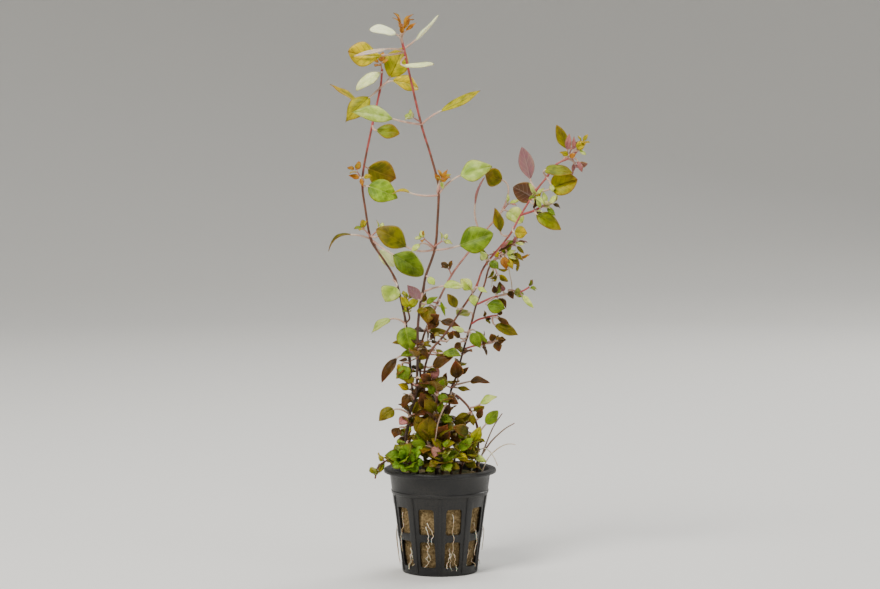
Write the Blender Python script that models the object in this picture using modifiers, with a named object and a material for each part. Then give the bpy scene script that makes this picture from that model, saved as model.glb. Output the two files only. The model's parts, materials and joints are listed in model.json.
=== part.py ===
"""Super red Ludwigia palustris grown above water, in a net pot filled with stone wool.

Lengths are millimetres and become metres where a mesh is made. +Z is up, the pot stands on
z = 0 round the origin, and the plant is seen from -Y. A leaf's solid starts 0.3 mm clear of
its stem, and each stem stands in a hole in the wool. Small leaves are part of their shoot.
"""

from collections import namedtuple
from math import cos, pi, radians, sin, tau
import random

import bmesh
import bpy
from mathutils import Matrix, Vector

MM = 0.001
GAP = 0.3

POT_HEIGHT = 50.0
POT_TOP_RADIUS = 24.5
POT_FOOT_RADIUS = 18.0
POT_WALL = 1.1
POT_FLOOR = 1.4
RIM_RADIUS = 27.0
RIM_DEPTH = 2.0
POT_SIDES = 20
WINDOW_COLUMNS = 10
WINDOW_WIDTH = 7.6
WINDOW_HEIGHT = 12.5
WINDOW_CENTRES = (10.5, 26.5)
FLOOR_SLOTS = 4
FLOOR_SLOT = (8.0, 2.4)
FLOOR_SLOT_RADIUS = 10.5

WOOL_TOP = 47.0
WOOL_CROWN = 0.6
WOOL_SIDES = 12
WOOL_SHOULDER = 1.2
WOOL_FLAT_SHARE = 0.75
HOLE_REACH = 12
HOLE_GAP = 0.45

LEAF_THICKNESS = 0.5
SMALL_LEAF_THICKNESS = 0.4
PETIOLE_WIDTH = 0.9
LONG_PETIOLE = 8.5
NARROW_LEAF = 8.2
SMALL_GROWN_LEAF = 5.6
TIP_WIDTH = 0.4
SMALL_LEAF_WIDTH = 0.64
TUFT_LEAF_WIDTH = 0.85
SMALL_PETIOLE_WIDTH = 0.7
# A stalk's length as a share of its small blade, how far the blade's tip droops, and how high it arches
SMALL_PETIOLE = 0.3
TIP_DROOP = 0.15
SMALL_ARCH = 0.08
# How far a stalk keeps to the blade's own direction, as a share of its length
PETIOLE_BEND = 0.45
FINE_STEPS = 8
# Where the top pair of leaves sits on a shoot, and how much smaller than the lowest its leaves are
TOP_PAIR = 0.97
SHRINK = 0.35
# Where a blade's solid has its rows, as shares of its length
BLADE_ROWS = (0, 0.15, 0.45, 0.8, 1)
NARROW_ROWS = (0, 0.3, 0.75, 1)
SMALL_GROWN_ROWS = (0, 0.4, 1)
SMALL_ROWS = (0.45, 1)

# Base colours and roughness, by finish
FINISHES = {
    "leaf_green": ((0.19, 0.30, 0.035), 0.38),
    "leaf_pale": ((0.42, 0.52, 0.20), 0.34),
    "leaf_yellow": ((0.50, 0.40, 0.02), 0.36),
    "leaf_olive": ((0.20, 0.16, 0.015), 0.42),
    "leaf_bronze": ((0.16, 0.07, 0.03), 0.45),
    "leaf_pink": ((0.38, 0.18, 0.16), 0.45),
    "stem_red": ((0.23, 0.06, 0.04), 0.4),
    "pot_plastic": ((0.02, 0.02, 0.022), 0.4),
    "wool": ((0.34, 0.27, 0.13), 0.95),
}

Stem = namedtuple("Stem", "lean radii sides points path")
# How far a stem leans back at a height of LEAN_HEIGHT above the wool, its radius at its foot and tip,
# its sides, its number of rings, and its route as seen from the front
LEAN_HEIGHT = 200.0
LEAN_POWER = 1.4
STEMS = {
    "tall_stem": Stem(-20, (0.85, 0.62), 6, 15, [
        (-9.5, -7.5, 36), (-10.4, -8, 47), (-12.4, -8, 56), (-16.2, -7.5, 64), (-15.3, -7, 71),
        (-14.2, -6.5, 78), (-11.4, -6, 87), (-10.6, -5, 109), (-10.6, -4, 117.5), (-9.6, -3.5, 128.5),
        (-8, -3, 136), (-6.8, -2.5, 143), (-2.4, -2, 156), (-1.2, -1.5, 169), (-0.6, -1, 182),
        (-1, -1, 188), (-4.8, -1, 202), (-8.8, 0, 215), (-14.4, 1, 239), (-16.8, 1, 250), (-18.4, 1, 256)]),
    "left_stem": Stem(22, (0.8, 0.6), 6, 14, [
        (-6, 4, 36), (-6.5, 4, 47), (-9.5, 3, 66), (-11.5, 2, 78), (-13.6, 1, 90), (-14.6, 0, 102),
        (-16.4, 0, 119), (-18.2, 1, 128), (-21.7, 1.5, 140.5), (-26.8, 2, 149), (-33.2, 2, 159),
        (-36, 2, 174), (-37.4, 2, 184), (-36.8, 2, 193.5), (-32.4, 2, 215.5), (-28.8, 2, 232),
        (-28, 2, 241)]),
    "right_stem": Stem(-16, (0.85, 0.65), 6, 14, [
        (-1, 0, 36), (-1, 0, 47), (-4.5, 0.5, 66), (-7, 0, 82), (-7.6, -1, 96), (-4.5, -1, 106.5),
        (2.2, 0, 114.5), (10.8, 0, 127.5), (17, 0, 137), (21.2, 0, 147.5), (32.8, 0, 162), (38.3, 0, 172),
        (45.8, 0, 184), (50.6, 0, 190), (54.8, 0, 196), (62.4, 0, 200), (67, 0, 205)]),
    "middle_stem": Stem(20, (0.75, 0.58), 6, 11, [
        (1.5, 8, 36), (1, 8, 47), (-2, 7.5, 62), (-6.4, 7, 78), (-9.5, 6, 94), (-8.8, 5.5, 109.5),
        (-2.8, 5, 125), (5.3, 5, 141.5), (14.6, 5, 154), (20, 5, 161), (25.6, 5, 167.5), (31, 4, 174)]),
    "slim_stem": Stem(26, (0.72, 0.52), 6, 11, [
        (5.5, -2, 36), (5.5, -2, 47), (3.5, 0, 66), (4.3, 1, 78), (5.2, 2, 86.5), (8, 3, 94),
        (11.4, 3, 106.5), (15.4, 3, 120), (17.6, 4, 128), (21.2, 4.5, 136.5), (24, 5, 146), (29, 5, 152),
        (34.5, 4, 155.5)]),
}

# A side shoot leaves its parent at a height; the parent None means that it stands in the wool
Shoot = namedtuple("Shoot", "parent height finish radii sides points path pairs leaf turn seed")
SHOOTS = {
    "upper_right_shoot": Shoot("right_stem", 172, "stem_red", (0.56, 0.45), 4, 5, [
        (44.2, -2, 174), (48, -2.5, 176), (50.4, -2.5, 177), (53, -2, 177.6)], 3, 5.0, 40, 11),
    "red_shoot": Shoot("slim_stem", 128, "stem_red", (0.52, 0.42), 4, 5, [
        (24.8, 3, 131), (32, 2, 133), (38.4, 1, 134), (43, 1, 136.4)], 3, 5.0, 20, 5),
    "low_red_shoot": Shoot("slim_stem", 118.5, "stem_red", (0.5, 0.42), 4, 4, [
        (18.8, 0.5, 121), (24.8, -2, 122.8), (27.5, -3, 123.2)], 2, 4.0, 70, 3),
    "bronze_shoot": Shoot("slim_stem", 106.5, "leaf_bronze", (0.46, 0.4), 4, 4, [
        (15.8, 4, 107.8), (21.2, 5, 108.8), (26.5, 5.5, 110)], 2, 6.0, 50, 8),
    "young_shoot": Shoot("left_stem", 119, "leaf_yellow", (0.46, 0.4), 4, 5, [
        (-14.6, -3, 122), (-15.6, -4.5, 127), (-15.4, -5, 131)], 2, 6.0, 15, 21),
    "right_runner": Shoot("slim_stem", 86, "stem_red", (0.58, 0.62), 4, 10, [
        (9, -1, 84), (13.2, -3, 80), (15.2, -4, 76.5), (17.2, -5, 72.5), (18.4, -6, 66.5),
        (18.2, -7, 59.5), (17.6, -7, 47), (17, -6.5, 40)], 3, 5.5, 50, 2),
    "rosette": Shoot(None, 0, "leaf_green", (0.65, 0.5), 4, 5, [
        (-13, -9.5, 41), (-13.6, -10.5, 47), (-15, -12, 53), (-17, -14.5, 56.5)], 4, 9.5, 50, 35),
    "trailing_shoot": Shoot(None, 0, "leaf_green", (0.5, 0.42), 4, 7, [
        (-17, -2, 41), (-17.4, -2.4, 47), (-20, -4, 52.5), (-24.5, -6, 54.5), (-29.5, -8, 51.5),
        (-31, -9.5, 46)], 3, 5.0, 30, 14),
    "front_tuft": Shoot(None, 0, "leaf_olive", (0.65, 0.5), 4, 5, [
        (1, -12.5, 41), (1.2, -13, 47), (1.4, -15, 55), (1.4, -17, 61)], 4, 9.0, 35, 7),
    "centre_tuft": Shoot(None, 0, "leaf_olive", (0.65, 0.5), 4, 5, [
        (-1.5, -5.5, 41), (-1.7, -5.8, 47), (-3, -8.9, 62), (-2, -11, 78), (-1, -12, 88)], 5, 10.5, 25, 9),
    "right_tuft": Shoot(None, 0, "leaf_green", (0.65, 0.5), 4, 5, [
        (9, -8, 41), (9.4, -8.4, 47), (11, -10, 55), (13.4, -11.5, 62)], 4, 9.0, 15, 12),
    "back_tuft": Shoot(None, 0, "leaf_olive", (0.65, 0.5), 4, 5, [
        (6, 10, 41), (6.2, 10.4, 47), (8, 12.5, 58), (9, 13.5, 68)], 4, 9.0, 35, 17),
    "back_left_tuft": Shoot(None, 0, "leaf_green", (0.65, 0.5), 4, 5, [
        (-11, 9, 41), (-11.4, 9.4, 47), (-13.5, 11.5, 56), (-16.5, 13, 63)], 3, 9.0, 5, 27),
}

# Sprouts of a few small leaves, part of the stem they sit on:
# height, way they grow, length, pairs, leaf length, turn, seed
SPROUTS = {
    "tall_stem": [
        (255.5, (0.1, 0.1, 1), 5, 2, 6.0, 30, 1), (216, (-0.8, -0.3, 0.5), 4, 1, 4.0, 60, 2),
        (182.5, (0.35, -0.4, 1), 6, 1, 5.0, 10, 3), (157, (-0.8, -0.5, 0.7), 6, 1, 4.0, 20, 4),
        (157, (0.8, -0.5, 0.6), 5, 1, 4.0, 70, 5)],
    "left_stem": [
        (240.5, (-0.2, -0.7, 1), 3, 1, 5.0, 20, 7), (186.5, (-0.6, -0.4, 1), 6, 1, 4.5, 15, 8),
        (160, (-0.7, -0.4, 0.9), 5, 1, 4.5, 35, 9), (160.5, (0.8, -0.3, 0.7), 5, 1, 4.0, 60, 10),
        (95, (-0.9, -0.3, 0.3), 3, 1, 5.0, 30, 32)],
    "right_stem": [
        (204.6, (0.2, -0.4, 0.5), 2, 1, 4.0, 20, 13), (200.5, (0.4, 0.6, 0.9), 3, 1, 5.0, 75, 14),
        (200.8, (0.6, 0.2, -1), 4, 1, 5.5, 15, 15), (180.6, (0.2, -0.8, 0.2), 4, 1, 5.5, 80, 16),
        (154, (-0.8, 0.2, -0.3), 3, 1, 5.0, 45, 17), (90, (0.5, -0.6, 0.4), 4, 1, 6.0, 20, 33)],
    "middle_stem": [
        (173.5, (0.5, -0.3, 0.6), 3, 1, 5.0, 10, 19), (141.5, (-0.4, -0.3, 1), 3, 1, 4.5, 80, 20),
        (128.5, (-0.7, -0.5, 0.2), 5, 1, 4.5, 30, 21), (108, (0.7, 0.5, 0.5), 4, 1, 5.0, 15, 34),
        (76, (0.7, 0.6, 0.6), 4, 1, 6.0, 45, 35)],
    "slim_stem": [
        (155, (0.6, -0.2, 0.6), 4, 2, 5.0, 10, 22), (153.5, (0.7, -0.3, -0.5), 6, 1, 5.0, 30, 23),
        (152, (0.3, -0.6, 0.1), 5, 1, 4.5, 60, 24), (148, (0.3, -0.5, -0.8), 6, 1, 5.5, 0, 25),
        (88, (-0.6, -0.6, 0.3), 4, 1, 5.5, 20, 27)],
}

# Large leaves: height on the stem, neck where the blade begins, tip, width, way the upper side
# faces, rise of the midrib in the middle, fold of each half, finish
LEAVES = {
    "tall_stem": [
        (253, (-20.5, -3, 257.5), (-33, -5, 259.5), 9, (0.1, -0.5, 0.85), 1, 10, "leaf_pale"),
        (250.5, (-11.5, 1, 254.5), (-0.8, 0.5, 266.6), 7, (-0.7, -0.15, 0.7), -0.8, 25, "leaf_pale"),
        (247, (-17, -5, 242.5), (-3, -7.5, 244), 8, (0.1, -0.35, 1), -1, 22, "leaf_pale"),
        (249, (-26.5, -1.5, 247.4), (-43, -4, 249.4), 13, (0.1, -0.85, 0.5), -1.5, 12, "leaf_yellow"),
        (215, (-22, -4, 217.8), (-41.2, -8.5, 221.4), 10, (0, -0.75, 0.65), 1, 12, "leaf_pale"),
        (215, (0, -2, 221.2), (18.8, -4, 231.4), 8, (-0.35, -0.55, 0.75), -0.8, 18, "leaf_yellow"),
        (181.5, (9.4, -3, 191), (24.6, -4, 195.4), 11.2, (-0.2, -0.85, 0.5), 0.8, 10, "leaf_pale"),
        (155.5, (-15.6, -5.5, 157.2), (-30, -6.5, 166), 11.5, (0.1, -0.85, 0.45), 1, 12, "leaf_olive"),
        (155.5, (9.2, -4.5, 157.8), (25.2, -6, 163.6), 12.8, (0, -0.97, 0.25), 1, 8, "leaf_green"),
        (135.5, (1.6, -5.5, 138.6), (11.4, -7, 137.8), 6.5, (0.1, -0.6, 0.8), 0.8, 18, "leaf_pale"),
        (76, (-22, -9.5, 79.4), (-29.4, -11, 74.6), 7, (-0.3, -0.8, 0.5), 0.8, 12, "leaf_olive"),
    ],
    "left_stem": [
        (232, (-24.4, 6.5, 237), (-17.6, 8.5, 251.6), 12, (0.15, -0.95, 0.1), 0.8, 12, "leaf_yellow"),
        (231, (-23, 1.5, 235.4), (-10, 6, 232), 9.4, (0.1, -0.75, 0.65), 1.2, 12, "leaf_yellow"),
        (239.5, (-28.6, -1, 239.4), (-40.4, -3.5, 230.6), 8, (-0.35, -0.7, 0.65), 1, 12, "leaf_pale"),
        (216, (-38, 7, 223), (-53.4, 7.5, 233.6), 7, (0.4, -0.35, 0.85), 0.6, 15, "leaf_yellow"),
        (231.5, (-34, 0.5, 227.5), (-46, -1, 215.6), 10, (-0.35, -0.9, 0.3), 1, 12, "leaf_yellow"),
        (214, (-30.6, -1.5, 211.6), (-19.4, -2.5, 210.2), 7.5, (0, -0.9, 0.4), 0.8, 12, "leaf_olive"),
        (194.5, (-34.8, 4.6, 193.2), (-21.2, 6, 188.2), 13.5, (0.1, -0.9, -0.3), 0.8, 10, "leaf_olive"),
        (184.5, (-34.4, -2.5, 184.8), (-20.2, -4, 179.2), 11.8, (0, -0.9, 0.4), 0.8, 12, "leaf_green"),
        (159, (-43, 2, 161.8), (-54, 1, 153.8), 8, (-0.35, -0.1, 1), 2.6, 15, "leaf_olive"),
        (158.5, (-22.6, -6, 152.6), (-8, -8, 142.8), 12.4, (0.1, -0.85, 0.5), 1, 12, "leaf_green"),
        (140, (-21, -2.5, 136.6), (-26.2, -7, 130), 11, (-0.1, -0.9, 0.45), 1, 26, "leaf_pale"),
        (118.5, (-16.6, -7.5, 118), (-14, -9.5, 106.6), 10.5, (0, -1, 0.2), 1, 12, "leaf_green"),
        (103, (-20.6, -3, 103), (-28.2, -5, 91.4), 6.5, (-0.7, -0.7, 0.2), 0.8, 14, "leaf_bronze"),
    ],
    "right_stem": [
        (198.5, (60.2, 1.5, 203), (54.8, 1, 214.6), 6.5, (-0.6, -0.5, 0.5), -0.6, 15, "leaf_olive"),
        (182.5, (52.8, -2, 184.8), (65, -3.5, 189.2), 11.5, (0.1, -0.93, 0.35), 1, 16, "leaf_yellow"),
        (184, (43, 3.5, 188.4), (38.8, 4, 204.4), 7.5, (0.1, 0.9, 0.3), 0.6, 14, "leaf_pink"),
        (180, (44.6, 5.5, 180), (35, 7.5, 185.2), 10.5, (0.1, 0.9, 0.3), 0.6, 10, "leaf_bronze"),
        (106.5, (1.2, -5, 106.2), (10, -7, 105.4), 6.5, (0, -0.6, 0.8), 0.8, 14, "leaf_green"),
        (190, (49.6, -3, 193.6), (62.6, -6.6, 192), 7.5, (0.05, -0.7, 0.7), 0.8, 12, "leaf_olive"),
    ],
    "middle_stem": [
        (172.5, (30, 5.5, 187.6), (21.2, 7.5, 191.4), 10, (-0.3, -0.85, -0.3), 0.8, 14, "leaf_olive"),
        (161, (16.8, 8, 175.8), (21.2, 9.5, 189), 7, (-1, -0.1, 0.3), 0.6, 14, "leaf_pink"),
        (173, (32.6, -3, 173), (39.6, -6, 168), 8.5, (0, -0.9, 0.5), 0.8, 24, "leaf_pale"),
    ],
    "slim_stem": [
        (88, (8.6, -1.4, 93), (7.2, -2.4, 101.6), 6.5, (0, -1, 0.1), 0.6, 12, "leaf_bronze"),
        (89, (14.6, 1, 91.4), (24, -0.5, 91), 6, (0, -0.5, 0.9), 0.8, 14, "leaf_bronze"),
    ],
    "upper_right_shoot": [
        (174.8, (45.6, -5, 172.6), (57.2, -6.5, 165.2), 8.6, (0.1, -0.8, 0.6), 0.8, 12, "leaf_olive"),
    ],
    "red_shoot": [
        (131.5, (22.6, -1, 128), (31.4, -4, 126.4), 7.5, (0, -0.9, 0.4), 0.6, 12, "leaf_green"),
    ],
    "low_red_shoot": [
        (122.8, (26.4, -3, 118.6), (37.6, -4.5, 114), 6.5, (0, -0.75, 0.6), 0.6, 12, "leaf_olive"),
    ],
    "right_runner": [
        (79, (19.2, -6, 81.2), (27, -7, 85.4), 5.5, (-0.4, -0.6, 0.7), 0.5, 14, "leaf_pale"),
        (66.5, (22, -8, 71.8), (27.8, -9, 78.4), 5.5, (0.2, -0.85, 0.4), 0.5, 14, "leaf_green"),
    ],
}

# Leaves of the same form that are part of the stem they grow from
GROWN_LEAVES = {
    "tall_stem": [
        (181.5, (-14.4, -2, 183), (-22.8, -1.5, 182.6), 6.5, (0, -0.12, 1), 1, 15, "leaf_yellow"),
        (135.5, (-10.2, -5.5, 132), (-15.4, -8.5, 139.4), 6.5, (0.3, 0.8, 0.5), 0.5, 15, "leaf_pink"),
        (70, (-19.5, -9, 70.5), (-22, -11, 66), 5.5, (-0.3, -0.9, 0.4), 0.8, 12, "leaf_bronze"),
    ],
    "left_stem": [
        (119, (-24, -1, 121.4), (-33.2, -2, 115), 6.5, (-0.5, -0.55, 0.7), 0.8, 14, "leaf_pale"),
        (100, (-18.5, -5, 99.5), (-15.5, -8.5, 92), 7.5, (-0.3, -0.9, 0.3), 0.8, 12, "leaf_green"),
        (157, (-29.6, 4.8, 153.8), (-22, 7, 145.6), 7, (0.2, -0.9, 0.3), 0.6, 14, "leaf_pale"),
    ],
    "right_stem": [
        (162, (28.8, -3, 163.8), (25.8, -4, 175.6), 5.5, (0.4, -0.9, 0.2), 0.5, 14, "leaf_olive"),
        (166, (35.4, -3, 163.9), (41.4, -4, 163.7), 6.5, (0, -0.9, 0.4), 0.5, 12, "leaf_yellow"),
        (137.5, (15.5, -4, 136.5), (10.6, -10, 141.6), 5.5, (0.3, -0.5, 0.8), 0.6, 15, "leaf_pale"),
        (99, (-3.6, -5, 99.8), (6.4, -7, 104.6), 6, (0.2, -0.7, 0.6), 0.6, 14, "leaf_bronze"),
    ],
    "middle_stem": [
        (123.5, (0.4, 8, 119.8), (10.4, 6.5, 116), 5.5, (0, -0.6, 0.8), 0.8, 12, "leaf_bronze"),
        (121, (-4.6, 0.8, 118.6), (-1.2, -4.6, 123.6), 6.5, (0, -0.9, 0.4), 0.5, 12, "leaf_bronze"),
    ],
    "slim_stem": [
        (113, (15, -1, 114.6), (19.6, -3, 107.4), 6, (0.1, -0.9, 0.4), 0.6, 12, "leaf_green"),
        (122, (14, 9, 124), (8, 14, 121), 8, (0.1, 0.5, 0.8), 0.8, 12, "leaf_green"),
    ],
    "centre_tuft": [
        (60, (-6, -10.5, 64), (-4.8, -14.5, 77), 11, (0, -0.9, 0.3), 0.8, 12, "leaf_olive"),
        (66, (-7, -10.5, 68), (-11.5, -13.5, 77), 7.5, (-0.2, -0.9, 0.3), 0.8, 12, "leaf_olive"),
        (74, (-6, -10.5, 80), (-9, -13, 87.5), 6, (-0.2, -0.9, 0.3), 0.6, 12, "leaf_bronze"),
        (62, (-0.6, -12.5, 65), (3.6, -16.5, 73), 8, (0.1, -0.9, 0.3), 0.8, 12, "leaf_bronze"),
        (76, (-2.6, -13, 78.5), (-7.4, -15, 84.8), 6.5, (-0.1, -0.9, 0.3), 0.6, 12, "leaf_olive"),
    ],
    "front_tuft": [
        (60, (-1, -18, 62.6), (-3, -21, 57.6), 5, (0, -0.9, 0.4), 0.6, 12, "leaf_pink"),
    ],
    "right_tuft": [
        (58, (13.6, -13.5, 68.4), (6.4, -17.5, 71.8), 5.6, (0, -0.9, 0.4), 0.6, 12, "leaf_bronze"),
        (61, (15.4, -13.5, 64.4), (19.4, -15.5, 71.8), 5.4, (0.3, -0.9, 0.2), 0.5, 12, "leaf_yellow"),
    ],
}

Leaf = namedtuple("Leaf", "root neck tip width face arch fold petiole")


def empty_scene():
    for obj in list(bpy.data.objects):
        bpy.data.objects.remove(obj)


def new_collection(name):
    collection = bpy.data.collections.new(name)
    bpy.context.scene.collection.children.link(collection)
    return collection


def paint(obj, finish):
    """Gives an object a material of its own in the named finish"""
    colour, roughness = FINISHES[finish]
    material = bpy.data.materials.new(obj.name + "_finish")
    material.use_nodes = True
    shader = material.node_tree.nodes["Principled BSDF"]
    shader.inputs["Base Color"].default_value = (*colour, 1)
    shader.inputs["Roughness"].default_value = roughness
    obj.data.materials.clear()
    obj.data.materials.append(material)


def even(points, count):
    """The given number of points, evenly spaced along a fine line"""
    lengths = [0.0]
    for start, end in zip(points, points[1:]):
        lengths.append(lengths[-1] + (end - start).length)
    spaced = []
    span = 0
    for step in range(count):
        target = lengths[-1] * step / (count - 1)
        while span < len(points) - 2 and lengths[span + 1] < target:
            span += 1
        share = (target - lengths[span]) / (lengths[span + 1] - lengths[span])
        spaced.append(points[span].lerp(points[span + 1], share))
    return spaced


def smooth_line(route, count):
    """Evenly spaced points on the Catmull-Rom curve through a route"""
    knots = [Vector(point) for point in route]
    knots = [2 * knots[0] - knots[1]] + knots + [2 * knots[-1] - knots[-2]]
    fine = []
    for before, start, end, after in zip(knots, knots[1:], knots[2:], knots[3:]):
        for step in range(FINE_STEPS):
            t = step / FINE_STEPS
            bend = 2 * before - 5 * start + 4 * end - after
            swing = 3 * start - before - 3 * end + after
            fine.append(0.5 * (2 * start + (end - before) * t + bend * t * t + swing * t**3))
    fine.append(knots[-2])
    return even(fine, count)


def lean_at(name, height):
    """How far back a stem, or the stem that a side shoot grows from, has leant at a height"""
    while name in SHOOTS:
        shoot = SHOOTS[name]
        name = shoot.parent
        height = shoot.height
    if name is None or height < WOOL_TOP:
        return Vector()
    return Vector((0, STEMS[name].lean * ((height - WOOL_TOP) / LEAN_HEIGHT) ** LEAN_POWER, 0))


def at_height(axis, height):
    """The point of an axis at a height, and the axis's direction there"""
    for start, end in zip(axis, axis[1:]):
        if min(start.z, end.z) <= height <= max(start.z, end.z):
            share = (height - start.z) / (end.z - start.z)
            return start.lerp(end, share), (end - start).normalized()
    nearest = min((0, -1), key=lambda end: abs(axis[end].z - height))
    return axis[nearest].copy(), (axis[-1] - axis[-2]).normalized()


def step_clear(point, along, toward, stem_radius, own_radius):
    """The first point from a stem's axis toward another point that keeps the gap to its skin"""
    way = (toward - point).normalized()
    slant = abs(way.dot(along))
    steep = max(way.cross(along).length, 0.35)
    return point + way * (stem_radius + GAP + own_radius * slant) / steep


def link_mesh(name, mesh, collection, origin):
    obj = bpy.data.objects.new(name, mesh)
    obj.location = origin * MM
    collection.objects.link(obj)
    return obj


def tube(name, axis, radii, sides, collection):
    """A round stem along an axis, tapering evenly, as a closed mesh with its origin at its foot"""
    curve = bpy.data.curves.new(name, "CURVE")
    curve.dimensions = "3D"
    curve.bevel_depth = MM
    curve.bevel_resolution = (sides - 4) // 2
    curve.use_fill_caps = True
    spline = curve.splines.new("POLY")
    spline.points.add(len(axis) - 1)
    for index, point in enumerate(axis):
        share = index / (len(axis) - 1)
        spline.points[index].co = (*((point - axis[0]) * MM), 1)
        spline.points[index].radius = radii[0] + (radii[1] - radii[0]) * share
    guide = bpy.data.objects.new(name + "_guide", curve)
    collection.objects.link(guide)
    graph = bpy.context.evaluated_depsgraph_get()
    mesh = bpy.data.meshes.new_from_object(guide.evaluated_get(graph))
    bpy.data.objects.remove(guide)
    mesh.name = name
    shape = bmesh.new()
    shape.from_mesh(mesh)
    bmesh.ops.remove_doubles(shape, verts=shape.verts, dist=0.01 * MM)
    shape.to_mesh(mesh)
    shape.free()
    mesh.shade_smooth()
    return link_mesh(name, mesh, collection, axis[0])


def blade_width(along):
    """Half the blade's width at a share of its length, where 1 is the widest half"""
    return sin(pi * along**0.8) ** 0.7


def leaf_rows(leaf, petiole_steps, blade_marks):
    """Rows of a leaf from its root to its tip: middle, way across, way up and half width"""
    across = leaf.face.cross(leaf.tip - leaf.neck).normalized()
    up = (leaf.tip - leaf.neck).cross(across).normalized()
    way_in = (leaf.tip - leaf.neck + 4 * leaf.arch * up).normalized()
    bend = leaf.neck - way_in * PETIOLE_BEND * (leaf.neck - leaf.root).length
    rows = []
    for step in range(petiole_steps):
        t = step / petiole_steps
        middle = leaf.root * (1 - t) ** 2 + bend * 2 * t * (1 - t) + leaf.neck * t**2
        rows.append((middle, across, up, leaf.petiole / 2))
    for along in blade_marks:
        middle = leaf.neck.lerp(leaf.tip, along) + up * leaf.arch * 4 * along * (1 - along)
        least = leaf.petiole / 2 if along < 0.5 else TIP_WIDTH / 2
        rows.append((middle, across, up, max(least, leaf.width / 2 * blade_width(along))))
    return rows


def strip_solid(name, rows, columns, fold, origin, thickness, collection):
    """A strip of rows, folded along its midrib, with its thickness from Solidify"""
    shape = bmesh.new()
    grid = []
    for middle, across, up, half in rows:
        row = []
        for column in columns:
            offset = across * half * column * cos(radians(fold))
            lift = up * half * abs(column) * sin(radians(fold))
            row.append(shape.verts.new((middle + offset + lift - origin) * MM))
        grid.append(row)
    for low, high in zip(grid, grid[1:]):
        for side in range(len(columns) - 1):
            shape.faces.new((low[side], low[side + 1], high[side + 1], high[side]))
    mesh = bpy.data.meshes.new(name)
    shape.to_mesh(mesh)
    shape.free()
    obj = link_mesh(name, mesh, collection, origin)
    wall = obj.modifiers.new("Thickness", "SOLIDIFY")
    wall.thickness = thickness * MM
    wall.offset = 0
    return obj


def large_leaf(name, row, stem, axis, radii, apart, collection):
    """A stalked leaf, set apart from its stem by the gap or grown from the stem's axis"""
    height, neck, tip, width, face, arch, fold, finish = row
    lean = lean_at(stem, height)
    neck = Vector(neck) + lean
    tip = Vector(tip) + lean
    root, along = at_height(axis, height)
    if apart:
        stem_radius = radius_at(radii, axis, height)
        root = step_clear(root, along, neck, stem_radius, PETIOLE_WIDTH / 2)
    leaf = Leaf(root, neck, tip, width, Vector(face), arch, fold, PETIOLE_WIDTH)
    petiole_steps = 2 if (neck - root).length > LONG_PETIOLE else 1
    broad = apart and width > NARROW_LEAF
    marks = NARROW_ROWS if apart or width > SMALL_GROWN_LEAF else SMALL_GROWN_ROWS
    rows = leaf_rows(leaf, petiole_steps, BLADE_ROWS if broad else marks)
    columns = (-1, 0, 1) if broad else (-1, 1)
    obj = strip_solid(name, rows, columns, fold, root, LEAF_THICKNESS, collection)
    paint(obj, finish)


def pair_of_leaves(root, base, along, turn, length, rise, breadth):
    """Two small leaves opposite each other across a shoot, grown from a root on its axis"""
    aside = along.orthogonal().normalized()
    aside.rotate(Matrix.Rotation(turn, 3, along))
    pair = []
    for side in (1, -1):
        out = (aside * side * cos(rise) + along * sin(rise)).normalized()
        face = along * cos(rise) - aside * side * sin(rise)
        neck = base + out * length * SMALL_PETIOLE
        tip = neck + (out - face * TIP_DROOP).normalized() * length
        arch = length * SMALL_ARCH
        pair.append(Leaf(root, neck, tip, length * breadth, face, arch, 0, SMALL_PETIOLE_WIDTH))
    return pair


def small_leaves(axis, shoot):
    """Leaves in opposite pairs along a shoot, each pair a quarter turn from the last"""
    draw = random.Random(shoot.seed)
    breadth = SMALL_LEAF_WIDTH if shoot.parent else TUFT_LEAF_WIDTH
    leaves = []
    for number in range(shoot.pairs):
        share = TOP_PAIR * (number + 1) / shoot.pairs
        root = along_line(axis, share)
        ahead = along_line(axis, share + 0.03) - along_line(axis, share - 0.03)
        size = shoot.leaf * (1 - SHRINK * share) * draw.uniform(0.85, 1.15)
        angle = radians(shoot.turn) + number * pi / 2 + draw.uniform(-0.3, 0.3)
        rise = radians(20 + 35 * share + draw.uniform(-8, 8))
        leaves.append(pair_of_leaves(root, root, ahead.normalized(), angle, size, rise, breadth))
    return leaves


def sprout_leaves(axis, sprout):
    """The leaves at the end of a sprout too thin to model, grown from the stem's own axis"""
    height, way, length, pairs, leaf_length, turn, seed = sprout
    root = at_height(axis, height)[0]
    way = Vector(way).normalized()
    draw = random.Random(seed)
    leaves = []
    for number in range(pairs):
        angle = radians(turn) + number * pi / 2
        rise = radians(draw.uniform(35, 50) + 15 * number)
        base = root + way * length * (number + 1) / pairs
        leaves.append(pair_of_leaves(root, base, way, angle, leaf_length, rise, SMALL_LEAF_WIDTH))
    return leaves


def along_line(axis, share):
    """The point at a share of an evenly spaced line"""
    place = min(max(share, 0), 1) * (len(axis) - 1)
    start = min(int(place), len(axis) - 2)
    return axis[start].lerp(axis[start + 1], place - start)


def combine(obj, operation, others, helpers):
    """Joins a helper collection's solids to an object, or cuts them from it"""
    for other in others.objects:
        other.hide_render = True
        other.display_type = "WIRE"
    step = obj.modifiers.new(others.name, "BOOLEAN")
    step.operation = operation
    step.solver = "EXACT"
    step.operand_type = "COLLECTION"
    step.collection = others
    helpers.children.link(others)


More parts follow.
